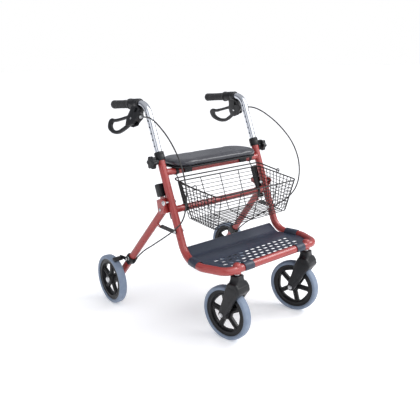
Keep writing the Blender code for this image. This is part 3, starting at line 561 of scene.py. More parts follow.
def dome_head(point, radius, height, direction=1, recess=0.0):
    """A domed head with a hexagonal recess, on a face square to X."""
    profile = [(radius, 0.0), (radius, height * 0.3)]
    rise = height * 0.7
    profile += [(radius * math.cos(a), height * 0.3 + rise * math.sin(a))
                for a in [math.radians(10 * i) for i in range(1, 6)]]
    profile += [(radius * 0.36, height * 0.96), (radius * 0.34, height - recess), (0, height - recess)]
    shape = turned([(0, 0.0)] + profile, 32)
    turn = Matrix.Identity(4) if direction > 0 else Matrix.Rotation(math.pi, 4, "Z")
    return moved(shape, Matrix.Translation(point) @ turn)


def leg_point(distance):
    axle = Vector((0, REAR_AXLE.y - HINGE.y, REAR_AXLE.z - HINGE.z))
    return HINGE + axle.normalized() * distance + Vector((FOLD_X_SLOPE * distance, 0, 0))


LEG_LENGTH = math.hypot(REAR_AXLE.y - HINGE.y, REAR_AXLE.z - HINGE.z)
LEG_DOWN = (leg_point(1) - leg_point(0)).normalized()
LEG_FRONT = LEG_DOWN.cross(OUT).normalized()
BRAKE_AT = 0.318


# ---------------------------------------------------------------- frame
BEAD_R = 0.0013
PROUD = 1.01        # a weld bead's middle lies this much outside the tube's skin


def quarter():
    """The ten angles of a quarter turn."""
    return [math.radians(10 * i) for i in range(10)]


def loop_path():
    left = [
        (GAUGE, upright_y(COLLAR_Z), COLLAR_Z),
        (GAUGE, upright_y(LOOP_Z), LOOP_Z),
        (0.262, -0.227, LOOP_Z),
        (0.226, FRONT_BAR_Y, LOOP_Z),
    ]
    right = [(-x, y, z) for x, y, z in reversed(left)]
    return rounded_path(left + right, [0.075, 0.06, 0.046, 0.046, 0.06, 0.075])


def caster_socket(side):
    """The upright stub on the front bar, with the weld round its foot."""
    dome = [(FRAME_R * math.cos(a), 0.2885 + 0.01 * math.sin(a)) for a in quarter()]
    stub = turned([(0, 0.2598), (FRAME_R - 0.0008, 0.2598), (FRAME_R, 0.2606)] + dome[:-1] + [(0, 0.2985)], 40)
    centre = Vector((STEM.x * side, STEM.y, 0))
    bead = []
    for i in range(96):
        angle = 2 * math.pi * i / 96
        across, along = FRAME_R * math.cos(angle), FRAME_R * math.sin(angle)
        bead.append((centre.x + across, centre.y + along * PROUD, LOOP_Z + abs(across) * PROUD))
    return merged(moved(stub, standing(centre)), swept(bead, BEAD_R, 8, closed=True, ripple=0.18))


def make_frame():
    shapes = [swept(loop_path(), FRAME_R, 40)]
    for side in SIDES.values():
        shapes.append(caster_socket(side))
    piece("frame_loop", merged(*shapes), "frame", "frame", ["front_frame"])


def cross_weld(z, side):
    """The bead where a cross tube meets an upright."""
    bead = []
    for i in range(72):
        angle = 2 * math.pi * i / 72
        reach = math.sqrt(FRAME_R ** 2 - (CROSS_R * math.sin(angle)) ** 2)
        offset = (UP_U * math.cos(angle) + UP_V * math.sin(angle)) * CROSS_R * 1.02
        point = Vector((GAUGE - reach * PROUD, upright_y(z), z)) + offset
        bead.append((point.x * side, point.y, point.z))
    return swept(bead, BEAD_R, 8, closed=True, ripple=0.18)


def make_cross_tubes():
    for name, z in (("seat_tube", SEAT_TUBE_Z), ("lower_tube", LOWER_TUBE_Z)):
        tube = moved(turned([(CROSS_R, -0.23), (CROSS_R, 0.23)], 40), along_x((0, upright_y(z), z)))
        shapes = [tube] + [cross_weld(z, side) for side in SIDES.values()]
        piece(name, merged(*shapes), "frame", "frame", [name.replace("_", "_cross_")])


PLATE_ORIGIN = Vector((0, upright_y(LOWER_TUBE_Z), LOWER_TUBE_Z))


def on_plate(y, z):
    offset = Vector((0, y, z)) - PLATE_ORIGIN
    return offset.dot(UP_U), offset.dot(UP_V)


def plate_view():
    """Local X up along the upright, local Y rearwards, local Z outwards."""
    turn = Matrix((UP_V, UP_U, OUT)).transposed().to_4x4()
    return Matrix.Translation(PLATE_ORIGIN) @ turn


def swapped(points):
    return [(v, u) for u, v in points]


def make_hinge_bracket(name, side):
    hinge_u, hinge_v = on_plate(HINGE.y, HINGE.z)
    bolt_u = on_plate(upright_y(BRACKET_BOLT_Z), BRACKET_BOLT_Z)[0]
    lobe = arc((0.05, 0.056), 0.012, -60, 150)
    inner = [(-0.012, WEB_V), (0.056, WEB_V), (0.056, 0.044)] + lobe + arc((hinge_u, hinge_v), 0.016, 60, 200)
    outer = [(0.0, WEB_V), (bolt_u - 0.011, 0.0)] + arc((bolt_u, 0), 0.011, 200, 350)
    outer += [(0.05, WEB_V), (0.05, 0.04)] + arc((hinge_u, hinge_v), 0.016, 60, 200)
    view = plate_view()
    shapes = [
        plate(swapped(inner), *INNER_PLATE, 0.0007, place=view),
        plate(swapped(outer), *OUTER_PLATE, 0.0007, place=view),
        plate(rectangle((WEB_V, -0.005), (WEB_V + 0.0033, 0.049)), INNER_PLATE[0], OUTER_PLATE[1] - 0.0002,
              place=view),
    ]
    boss = turned([(0, 0.23), (0.009, 0.23), (0.0105, 0.2312), (0.0105, 0.235), (0, 0.235)], 32)
    shapes.append(moved(boss, along_x((0, *plate_spot(0.05, 0.056)))))
    for u in (-0.0115, 0.0555):
        foot = PLATE_ORIGIN + UP_V * (WEB_V - 0.0004) + OUT * 0.2375
        weld = [foot + UP_U * (u * t) for t in (0, 0.25, 0.5, 0.75, 1)]
        shapes.append(swept(smooth_route(weld, 0.0016), 0.0011, 8, ripple=0.2))
    piece(f"hinge_plates_{name}", merged(*shapes), "frame", "frame", [f"hinge_bracket_{name}"], side)


def plate_spot(u, v):
    point = PLATE_ORIGIN + UP_U * u + UP_V * v
    return point.y, point.z


def through_bolt(name, node, y, z, radius, outer, inner, side, head_size=2.0):
    """A bolt with its domed head outside and its nut inside."""
    shank = moved(bar(radius, inner - 0.001, outer + 0.001), along_x((0, y, z)))
    head = dome_head((outer + 0.0002, y, z), radius * head_size, 0.0044, recess=0.0018)
    nut = hex_head((inner - 0.0002, y, z), radius * 3.4, 0.0036, -1)
    piece(f"{node}_{name}_steel", merged(shank, head, nut), "steel", "frame", [f"{node}_{name}"], side)


def make_bolts(name, side):
    through_bolt(name, "hinge_pin", HINGE.y, HINGE.z, 0.004, OUTER_PLATE[1], INNER_PLATE[0], side, 1.5)
    y = upright_y(BRACKET_BOLT_Z)
    through_bolt(name, "bracket_bolt", y, BRACKET_BOLT_Z, 0.0034, OUTER_PLATE[1], GAUGE - FRAME_R, side, 2.7)
    y = upright_y(STRUT_BOLT_Z)
    through_bolt(name, "strut_bolt", y, STRUT_BOLT_Z, 0.0034, STRUT_X[1], GAUGE - FRAME_R, side)


def make_fold_release(name, side):
    view = plate_view()
    cap = filleted(rectangle((0.0178, 0.058), (0.0422, 0.1056)), 0.006)
    hinge_u, hinge_v = on_plate(HINGE.y, HINGE.z)
    low, high = hinge_u - 0.018, hinge_u + 0.008
    body = [(0.0168, -0.0297), (0.0397, -0.0297), (0.0397, low), (hinge_v - 0.0078, low),
            (hinge_v - 0.0078, high), (0.0397, high), (0.0397, 0.0697), (0.0168, 0.0697)]
    shapes = [
        plate(cap, 0.2242, 0.2658, 0.0035, place=view),
        plate(filleted(body, 0.003), 0.2222, 0.234, 0.0012, place=view),
    ]
    for i in range(5):
        u = 0.066 + i * 0.0075
        rib = filleted(rectangle((0.0405, u), (0.0424, u + 0.0035)), 0.0008)
        shapes.append(plate(rib, 0.229, 0.261, 0.0006, place=view))
    piece(f"release_{name}", merged(*shapes), "plastic", f"release_{name}", [f"fold_release_{name}"], side)


# ---------------------------------------------------------------- seat
def rounded_rectangle(low, high, radius, steps=12):
    centres = [
        (high[0] - radius, high[1] - radius, 0),
        (low[0] + radius, high[1] - radius, 90),
        (low[0] + radius, low[1] + radius, 180),
        (high[0] - radius, low[1] + radius, 270),
    ]
    outline = []
    for x, y, start in centres:
        outline += arc((x, y), radius, start, start + 90, steps)
    return outline


def make_seat_base():
    board = plate(rounded_rectangle((-0.2045, -0.0515), (0.2045, 0.0975), 0.06), 0.5823, 0.5879, 0.0012)
    shapes = [board]
    screws = []
    for side in SIDES.values():
        top = [(0.0188, 0.5835), (-0.0188, 0.5835)]
        foot = 0.5602
        spread_y = math.sqrt((CROSS_R + 0.0004) ** 2 - (SEAT_TUBE_Z - foot) ** 2)
        start = math.degrees(math.atan2(foot - SEAT_TUBE_Z, spread_y))
        over = arc((0, SEAT_TUBE_Z), CROSS_R + 0.0004, 180 - start, start, 24)
        block = [(-0.0188, foot)] + over + [(0.0188, foot)] + top
        block = [(y + upright_y(SEAT_TUBE_Z), z) for y, z in block]
        low, high = sorted((0.1225 * side, 0.1575 * side))
        shapes.append(plate(filleted(block, 0.0022, 3), low, high, 0.001, place=SIDE_VIEW))
        for y in (-0.016, 0.015):
            screw = turned([(0, 0.0), (0.002, 0.0), (0.0026, 0.0006), (0.0026, 0.0014), (0, 0.0014)], 20)
            screws.append(moved(screw, standing((0.14 * side, y, 0.5592))))
    piece("seat_board", merged(*shapes), "plastic", "frame", ["seat_base"])
    piece("seat_screws", merged(*screws), "steel", "frame")


def inflate(thing, cap):
    """Swells a closed mesh under light pressure, and limits how far any point may move."""
    remesh = thing.modifiers.new("remesh", "REMESH")
    remesh.mode = "VOXEL"
    remesh.voxel_size = 0.005
    shape = as_shape(thing)
    soft = as_object("soft", shape)
    rest = [vertex.co.copy() for vertex in soft.data.vertices]
    cloth = soft.modifiers.new("cloth", "CLOTH")
    cloth.settings.use_pressure = True
    cloth.settings.uniform_pressure_force = 4.0
    cloth.settings.effector_weights.gravity = 0.0
    cloth.settings.quality = 6
    scene = bpy.context.scene
    for step in range(1, 21):
        scene.frame_set(step)
    shape = bmesh.new()
    shape.from_object(soft, bpy.context.evaluated_depsgraph_get())
    scene.frame_set(1)
    bpy.data.objects.remove(soft)
    shape.verts.ensure_lookup_table()
    for vertex, start in zip(shape.verts, rest):
        shift = vertex.co - start
        if shift.length > cap:
            vertex.co = start + shift.normalized() * cap
    return shape


SEAT_LOW, SEAT_HIGH = Vector((-0.215, -0.062)), Vector((0.215, 0.108))
PAD_Z = (0.5886, 0.6146)
PAD_SWELL = 0.0062


def make_seat_cushion():
    inset = 0.0055
    outline = rounded_rectangle(SEAT_LOW + Vector((inset, inset)), SEAT_HIGH - Vector((inset, inset)), 0.063)
    shape = plate(outline, 0.5893, 0.608, 0.008)
    shape = inflate(as_object("pad", shape), PAD_SWELL)
    limits = ((SEAT_LOW.x, SEAT_HIGH.x), (SEAT_LOW.y, SEAT_HIGH.y), PAD_Z)
    for vertex in shape.verts:
        vertex.co = [min(max(value, low), high) for value, (low, high) in zip(vertex.co, limits)]
    bmesh.ops.smooth_vert(shape, verts=shape.verts, factor=0.5,
                          use_axis_x=True, use_axis_y=True, use_axis_z=True)
    thing = as_object("pad", shape)
    finer = thing.modifiers.new("finer", "SUBSURF")
    finer.levels = 1
    finer.render_levels = 1
    shape = as_shape(thing)
    pad = piece("seat_pad", shape, "vinyl", "frame", ["seat_cushion"], sharp=60)


# ---------------------------------------------------------------- tray
DECK_Z = 0.2745
DECK_FRONT_Y = -0.3065
TRAY_THICKNESS = 0.003
CLIP_R = FRAME_R + 0.0035
# What is cut off the sheet's side, in plan: it leaves the uprights clear, then follows the rail's inner face.
TRAY_SIDE = [(0.3, -0.06), (0.222, -0.06), (0.222, -0.14), (0.236, -0.162), (0.2435, -0.215),
             (0.2435, -0.235), (0.234, -0.27), (0.2235, -0.295), (0.212, -0.305), (0.168, -0.3052),
             (0.168, -0.34), (0.3, -0.34)]


def tray_profile():
    lip = arc((-0.09, 0.2915), 0.0095, 20, 125, 14)
    scoop = arc((-0.1434, DECK_Z + 0.04), 0.04, 305, 270, 12)
    return lip + scoop + [(DECK_FRONT_Y + 0.0005, DECK_Z)]


def hole_rows():
    """Middles of the deck's staggered oval holes."""
    middles = []
    for row in range(4):
        count = 12 if row % 2 else 13
        for i in range(count):
            x = (i - (count - 1) / 2) * 0.03
            y = -0.213 - row * 0.024
            if abs(x) < 0.198 + (y + 0.285) * 0.5:
                middles.append((x, y))
    return middles


def oval(x, y, half_length=0.0105, half_width=0.006):
    flat = half_length - half_width
    return arc((x + flat, y), half_width, -90, 90, 8) + arc((x - flat, y), half_width, 90, 270, 8)


def make_tray():
    middle = [Vector((0, y, z)) for y, z in tray_profile()]
    ahead = [(b - a).normalized() for a, b in zip(middle, middle[1:])]
    tangents = [ahead[0]] + [(a + b).normalized() for a, b in zip(ahead, ahead[1:])] + [ahead[-1]]
    half = TRAY_THICKNESS / 2
    above = [(p.y + t.z * half, p.z - t.y * half) for p, t in zip(middle, tangents)]
    below = [(p.y - t.z * half, p.z + t.y * half) for p, t in zip(middle, tangents)]
    sheet = extruded(above + below[::-1], -0.248, 0.248, SIDE_VIEW)
    cutters = [extruded(oval(x, y), 0.26, 0.29) for x, y in hole_rows()]
    for side in SIDES.values():
        cutters.append(extruded([(x * side, y) for x, y in TRAY_SIDE], 0.25, 0.33))
    sheet = softened(without(sheet, merged(*cutters)), 0.0007, 2, 50)
    shapes = [sheet]
    for side in SIDES.values():
        shapes += tray_clips(side)
    piece("tray_sheet", merged(*shapes), "tray", "frame", ["tray"], sharp=50)


def extruded(outline, low, high, place=FLAT):
    """A plain prism along local Z."""
    return lofted([(low, outline), (high, outline)], place)


def lofted(levels, place=FLAT):
    """A closed skin through flat outlines with as many points each, every one at its own height."""
    shape = bmesh.new()
    rings = [[shape.verts.new((x, y, z)) for x, y in outline] for z, outline in levels]
    for first, second in zip(rings, rings[1:]):
        for i in range(len(first)):
            after = (i + 1) % len(first)
            shape.faces.new((first[i], first[after], second[after], second[i]))
    shape.faces.new(rings[0])
    shape.faces.new(rings[-1])
    return moved(shape, place)


def open_sleeve(start, end, inner, outer, mouth):
    """A snap clip round a bar: a sleeve with a mouth of the given width, in degrees, on its lower side."""
    axis = (end - start).normalized()
    up = Vector((0, 0, 1))
    outwards = arc((0, 0), outer, -90 + mouth / 2, 270 - mouth / 2, 40)
    inwards = arc((0, 0), inner, 270 - mouth / 2, -90 + mouth / 2, 40)
    place = basis(start, up.cross(axis), up)
    return plate(filleted(outwards + inwards, 0.0008, 2), 0.0, (end - start).length, 0.0008, place=place)


def tray_clips(side):
    runs = [
        ((0.247, -0.16), (0.256, -0.213), ((0.218, -0.205), (0.238, -0.165))),
        ((0.112, FRONT_BAR_Y), (0.155, FRONT_BAR_Y), ((0.115, -0.312), (0.152, -0.303))),
    ]
    shapes = []
    for start, end, (low, high) in runs:
        sleeve = open_sleeve(Vector((*start, LOOP_Z)), Vector((*end, LOOP_Z)), FRAME_R + 0.0003, CLIP_R, 120)
        tab = plate(rectangle(low, high), DECK_Z - 0.0013, DECK_Z + 0.0013, 0.0006)
        shapes += [on_side(sleeve, side), on_side(tab, side)]
    return shapes


# ---------------------------------------------------------------- basket
RIM_REAR = Vector((0.21, -0.033, 0.538))
RIM_FRONT = Vector((0.2, -0.249, 0.515))
FLOOR_REAR = Vector((0.197, -0.083, 0.405))
FLOOR_FRONT = Vector((0.185, -0.212, 0.387))
WIRE_R = 0.0012
RIM_WIRE_R = 0.0024


def basket_corner(side, front, height):
    """A point of a corner line; height runs from 0 on the floor to 1 at the rim."""
    low, high = (FLOOR_FRONT, RIM_FRONT) if front else (FLOOR_REAR, RIM_REAR)
    return point_on_side(low.lerp(high, height), side)


def basket_hoop(height, corner_r=0.016):
    corners = [basket_corner(side, front, height) for side, front in
               ((1, False), (-1, False), (-1, True), (1, True))]
    start = corners[0].lerp(corners[3], 0.5)
    return rounded_path([start] + corners + [start], [corner_r] * 4, 8)[:-1]


def wall_wire(along, top=1.0):
    """A wire down the rear wall, under the floor and up the front wall; along runs from -1 to 1."""
    across = (along + 1) / 2
    ends = []
    for front, height in ((False, top), (False, 0.0), (True, 0.0), (True, top)):
        ends.append(basket_corner(-1, front, height).lerp(basket_corner(1, front, height), across))
    return rounded_path(ends, [0.01, 0.01], 5)


def side_wire(along, top=1.0):
    """A wire down one side wall, under the floor and up the other; along runs from rear to front."""
    ends = []
    for side, height in ((1, top), (1, 0.0), (-1, 0.0), (-1, top)):
        ends.append(basket_corner(side, False, height).lerp(basket_corner(side, True, height), along))
    return rounded_path(ends, [0.01, 0.01], 5)


def make_basket():
    shapes = [swept(basket_hoop(0.992, 0.022), RIM_WIRE_R, 12, closed=True)]
    for i in range(8):
        shapes.append(swept(basket_hoop(0.16 + i * 0.104), WIRE_R, 8, closed=True))
    first, last = basket_corner(-1, True, 0.03), basket_corner(1, True, 0.03)
    shapes.append(swept([first.lerp(last, t) for t in (0.03, 0.5, 0.97)], WIRE_R * 1.3, 8))
    for i in range(5):
        shapes.append(swept(wall_wire(-0.92 + i * 0.46), WIRE_R * 1.3, 8))
    for i in range(11):
        shapes.append(swept(side_wire(0.05 + i * 0.09), WIRE_R * 1.3, 8))
    piece("basket_wires", merged(*shapes), "wire", "basket", ["basket"])


BAIL_PIVOT = Vector((0.217, -0.141, 0.531))


def make_bail():
    corner = Vector((BAIL_PIVOT.x, -0.026, 0.549))
    left = [BAIL_PIVOT, corner]
    right = [point_on_side(point, -1) for point in reversed(left)]
    shapes = [swept(rounded_path(left + right, [0.018, 0.018], 10), 0.0025, 14)]
    for side in SIDES.values():
        centre = Vector((BAIL_PIVOT.x * side - 0.006 * side, BAIL_PIVOT.y, BAIL_PIVOT.z + 0.002))
        eye = []
        for angle in [math.radians(i * 15) for i in range(24)]:
            across, up = math.cos(angle), math.sin(angle)
            eye.append(centre + Vector((0.0075 * across, 0.001 * up, 0.0075 * up)))
        shapes.append(swept(eye, 0.0016, 10, closed=True))
    piece("bail_wire", merged(*shapes), "wire", "bail", ["basket_bail"])


def make_strap(name, side):
    outline = [(-0.0225, 0.5326), (-0.033, 0.5313), (-0.033, 0.5279), (-0.024, 0.5262), (-0.052, 0.4545),
               (-0.0485, 0.4545), (-0.0187, 0.5318)]
    hook = [(0.1865, -0.0222, 0.527), (0.1865, -0.0206, 0.532), (0.1865, -0.005, 0.556)]
    shapes = [
        plate(filleted(outline, 0.0012, 3), 0.18, 0.193, 0.0006, place=SIDE_VIEW),
        swept(rounded_path(hook, [0.006]), 0.0019, 12),
    ]
    for z in (SEAT_TUBE_Z, LOWER_TUBE_Z):
        middle = (upright_y(z), z)
        ring, hole = circle(CROSS_R + 0.0018, middle), circle(CROSS_R + 0.0003, middle)
        shapes.append(plate(ring, 0.18, 0.193, 0.0005, holes=[hole], place=SIDE_VIEW))
    piece(f"strap_{name}", merged(*shapes), "plastic", "frame", [f"basket_strap_{name}"], side)


# ---------------------------------------------------------------- handles
def brake_place():
    """Local X along the grip, local Y down and outwards, on the left."""
    down = Vector((math.sin(BRAKE_TILT), 0, -math.cos(BRAKE_TILT)))
    down = (down - GRIP_A * down.dot(GRIP_A)).normalized()
    return basis(GRIP_ORIGIN, GRIP_A, down)


def handle_path(steps=22):
    bottom = upright_at(0.55)
    slope, droop = math.tan(LEAN), math.tan(GRIP_DROOP)
    corner_y = (COLLAR_Y + (GRIP_ORIGIN.z - COLLAR_Z + GRIP_ORIGIN.y * droop) * slope) / (1 + droop * slope)
    corner = Vector((GAUGE, corner_y, COLLAR_Z + (corner_y - COLLAR_Y) / slope))
    end = GRIP_ORIGIN + GRIP_A * 0.186
    return rounded_path([bottom, corner, end], [0.05], steps)


def make_handle_tube(name, side):
    bottom, bend, *rest = handle_path()
    rings = round((bend - bottom).length / 0.0055)
    straight = [bottom.lerp(bend, i / rings) for i in range(rings)]
    tube = swept(straight + [bend] + rest, HANDLE_R, 48)
    holes = []
    for i in range(6):
        z = 0.662 + i * 0.022
        holes.append(moved(bar(0.0034, -0.02, 0.02, 0.0002, 24), along_x(upright_at(z))))
    tube = without(tube, merged(*holes))
    piece(f"handle_bar_{name}", tube, "chrome", f"handle_{name}", [f"handle_tube_{name}"], side)


def make_grip(name, side):
    profile = [(0.0129, 0.0668), (0.0195, 0.0668), (0.0204, 0.0676), (0.0204, 0.0745), (0.0195, 0.0756),
               (0.0172, 0.0785)]
    along = 0.08
    while along < 0.183:
        ripple = 0.0005 * math.sin((along - 0.08) / 0.0044 * 2 * math.pi)
        profile.append((0.0157 + ripple - 0.0006 * math.sin((along - 0.08) / 0.103 * math.pi), along))
        along += 0.00055
    profile += [(0.0163, 0.185), (0.0165, 0.1885), (0.016, 0.1912), (0.0145, 0.1932), (0.0115, 0.1942),
                (0.006, 0.1945), (0.0055, 0.1938), (0, 0.1938)]
    piece(f"hand_grip_{name}", moved(turned(profile, 40), brake_place()), "grip", f"handle_{name}",
          [f"grip_{name}"], side, sharp=70)


HOUSING = [(0.01, 0.008), (-0.006, 0.019), (-0.007, 0.034), (-0.012, 0.041), (-0.012, 0.053), (0.006, 0.069),
           (0.012, 0.08), (0.04, 0.087), (0.062, 0.083), (0.063, 0.062), (0.06, 0.047), (0.05, 0.027),
           (0.045, 0.008)]
HOUSING_FACE = [(0.043, 0.014), (0.017, 0.014), (0.022, 0.036), (0.023, 0.056), (0.02, 0.066), (0.034, 0.081),
                (0.059, 0.079), (0.06, 0.054), (0.048, 0.029)]
HOUSING_POCKET = [(0.013, 0.018), (-0.003, 0.021), (-0.004, 0.034), (0.018, 0.036)]
LEVER = [(0.012, 0.054), (0.02, 0.045), (0.045, 0.041), (0.075, 0.045), (0.118, 0.053), (0.16, 0.058),
         (0.18, 0.0555), (0.193, 0.058), (0.2015, 0.066), (0.203, 0.08), (0.196, 0.097), (0.175, 0.109),
         (0.148, 0.116), (0.118, 0.115), (0.09, 0.106), (0.062, 0.092), (0.038, 0.078), (0.018, 0.067)]
FINGER_GAP = [(0.07, 0.057), (0.115, 0.063), (0.15, 0.069), (0.17, 0.07), (0.178, 0.078), (0.172, 0.091),
              (0.152, 0.101), (0.122, 0.102), (0.09, 0.09), (0.068, 0.076)]
LEVER_PIN = (0.032, 0.058)
LEVER_HALF = 0.006
HOUSING_HALF = 0.0135


def make_brake_housing(name, side):
    place = brake_place()
    shell = plate(filleted(HOUSING, 0.0045, 6), -HOUSING_HALF, HOUSING_HALF, 0.0028)
    slot = extruded(rectangle((0.003, 0.03), (0.1, 0.11)), -LEVER_HALF - 0.0003, LEVER_HALF + 0.0003)
    bore = turned([(0, -0.05), (HANDLE_R, -0.05), (HANDLE_R, 0.1), (0, 0.1)], 40)
    pockets = []
    for low, high in ((-0.02, -0.009), (0.009, 0.02)):
        pockets.append(extruded(filleted(HOUSING_POCKET, 0.002, 4), low, high))
    shell = without(shell, slot, bore, merged(*pockets))
    collar = turned([
        (HANDLE_R + 0.0002, 0.0082), (0.0172, 0.0082), (0.0186, 0.0092), (0.019, 0.011), (0.019, 0.028),
        (0.0183, 0.0288), (0.0183, 0.0296), (0.019, 0.0304), (0.019, 0.063), (0.0184, 0.0648), (0.0172, 0.0655),
        (HANDLE_R + 0.0002, 0.0655),
    ], 40, ring=True)
    shapes = [shell, collar]
    for z in (-HOUSING_HALF, HOUSING_HALF - 0.0006):
        shapes.append(plate(filleted(HOUSING_FACE, 0.003), z - 0.0004, z + 0.001, 0.0005))
    shape = moved(merged(*shapes), place)
    piece(f"brake_body_{name}", shape, "plastic", f"handle_{name}", [f"brake_housing_{name}"], side, sharp=50)

    centre = place @ Matrix.Translation((*LEVER_PIN, 0))
    ends = [moved(dome_pin(), centre @ Matrix.Rotation(turn, 4, "Y")) for turn in (-math.pi / 2, math.pi / 2)]
    piece(f"brake_pin_{name}", merged(*ends), "steel", f"handle_{name}", [f"lever_pin_{name}"], side)

    barrel = [(0, 0.0005), (0.005, 0.0005), (0.005, -0.002), (0.0058, -0.0024)]
    for i in range(6):
        along = -0.003 - i * 0.0019
        barrel += [(0.006, along), (0.006, along - 0.0009), (0.0056, along - 0.0013)]
    barrel += [(0.005, -0.015), (0.0036, -0.016), (0, -0.016)]
    adjuster = moved(turned(barrel, 24), place @ Matrix.Translation((-0.0005, 0.05, 0)))
    piece(f"cable_adjuster_{name}", adjuster, "steel", f"handle_{name}", (), side)


def dome_pin():
    """Half of the lever's pin: its shank from the middle, and its head proud of the housing."""
    head = [(0.003, 0.0002), (0.0038, 0.0002), (0.0036, 0.0009), (0.0028, 0.0014), (0, 0.0016)]
    return turned([(0, 0.0), (0.003, 0.0)] + [(radius, HOUSING_HALF + proud) for radius, proud in head], 24)


def make_brake_lever(name, side):
    outline, gap = smooth_outline(LEVER), smooth_outline(FINGER_GAP)
    lever = plate(outline, -LEVER_HALF, LEVER_HALF, 0.0036, holes=[gap])
    piece(f"lever_loop_{name}", moved(lever, brake_place()), "plastic", f"lever_{name}",
          [f"brake_lever_{name}"], side, sharp=60)


CABLE_ROUTE = [
    (0.26, 0.04, 0.763), (0.266, -0.015, 0.744), (0.273, -0.085, 0.702), (0.28, -0.145, 0.645),
    (0.284, -0.178, 0.585), (0.285, -0.188, 0.525), (0.284, -0.178, 0.47), (0.28, -0.148, 0.422),
    (0.2745, -0.095, 0.38), (0.272, -0.03, 0.337), (0.273, 0.045, 0.289), (0.275, 0.1, 0.254),
]
CABLE_R = 0.0025
ADJUSTER = (-0.016, 0.05)
CABLE_STOP = (BRAKE_AT - 0.0183, 0.021)


def cable_path():
    place = brake_place()
    start = place @ Vector((ADJUSTER[0] - 0.0003, ADJUSTER[1], 0))
    distance, forward = CABLE_STOP
    finish = leg_point(distance) + LEG_FRONT * forward
    before = leg_point(distance - 0.03) + LEG_FRONT * (forward + 0.001)
    after = start - GRIP_A * 0.02 + Vector((0.001, 0, 0))
    return smooth_route([start, after] + CABLE_ROUTE + [before, finish])


def make_cable(name, side):
    path = cable_path()
    middle = next(i for i, point in enumerate(path) if point.z < 0.5)
    upper, lower = path[:middle + 1], path[middle:]
    stands_for = [f"brake_cable_{name}"]
    first = piece(f"cable_upper_{name}", swept(upper, CABLE_R, 14), "cable", None, stands_for, side)
    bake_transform(first)
    second = piece(f"cable_lower_{name}", swept(lower, CABLE_R, 14), "cable", None, stands_for, side)
    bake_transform(second)

    profile = [(0.0026, 0.0), (0.0034, 0.0), (0.0036, 0.0006), (0.0036, 0.01), (0.0026, 0.011)]
    ferrule = turned(profile, 20, ring=True)
    direction = (path[1] - path[0]).normalized()
    place = basis(path[0], direction, direction.orthogonal().normalized())
    piece(f"cable_ferrule_{name}", moved(ferrule, place), "steel", f"handle_{name}", (), side)


def make_collar(name, side):
    turn = basis(upright_at(COLLAR_Z), UP_U, OUT)
    profile = [
        (HANDLE_R + 0.0002, 0.0002), (HANDLE_R + 0.0002, 0.0112), (HANDLE_R + 0.001, 0.012), (0.0154, 0.012),
        (0.0164, 0.0115), (0.0175, 0.0098), (0.018, 0.008), (0.018, 0.001), (0.0175, 0.0002), (0.0175, -0.0008),
        (0.018, -0.0016), (0.018, -0.0188), (0.0173, -0.0199), (FRAME_R + 0.0003, -0.02),
        (FRAME_R + 0.0003, 0.0002),
    ]
    sleeve = moved(turned(profile, 44, ring=True), turn)
    profile = [(0, 0.0155), (0.01, 0.0155), (0.01, 0.0275), (0.0092, 0.0288), (0.0036, 0.029), (0, 0.029)]
    boss = moved(turned(profile, 32), along_x(KNOB_AT))
    piece(f"collar_{name}", merged(sleeve, boss), "plastic", "frame", [f"clamp_collar_{name}"], side)


KNOB_AT = Vector((GAUGE, upright_y(0.609), 0.609))


def make_knob(name, side):
    star = []
    for i in range(120):
        angle = math.radians(i * 3)
        radius = 0.0214 + 0.0026 * math.cos(6 * angle)
        star.append((radius * math.cos(angle), radius * math.sin(angle)))
    place = on_axis(KNOB_AT)
    body = plate(star, 0.0302, 0.0478, 0.003, place=place)
    profile = [(0, 0.047), (0.0138, 0.047), (0.013, 0.0482), (0.0105, 0.0486), (0.01, 0.048), (0, 0.0478)]
    face = turned(profile, 40)
    screw = turned([(0.003, 0.0155), (0.003, 0.031)], 20)
    piece(f"knob_{name}", merged(body, moved(face, along_x(KNOB_AT))), "plastic", f"knob_{name}",
          [f"height_knob_{name}"], side, sharp=45)
    piece(f"knob_screw_{name}", moved(screw, along_x(KNOB_AT)), "steel", f"knob_{name}", (), side)


# ---------------------------------------------------------------- rear legs
STRUT_X = (0.2556, 0.2586)
STRUT_END = Vector((0, 0.0125, 0.3705))
LUG_X = (0.2592, 0.2632)


def make_strut(name, side):
    start = Vector((0, upright_y(STRUT_BOLT_Z), STRUT_BOLT_Z))
    along = (STRUT_END - start).normalized()
    above = Vector((0, -along.z, along.y))
    length = (STRUT_END - start).length
    half = 0.0079
    outline = arc((0, 0), half, 90, 270, 16) + arc((length, 0), half, -90, 30, 12)
    outline += [(length + 0.0045, 0.0038)] + arc((length, 0), 0.0037, 0, -180, 12) + [(length - 0.0125, half)]
    hole = arc((0, 0), 0.0037, 0, 350, 24)
    shape = plate(outline, *STRUT_X, 0.0006, holes=[hole], place=basis(start, along, above))
    piece(f"strut_bar_{name}", shape, "plastic", f"strut_{name}", [f"strut_{name}"], side)


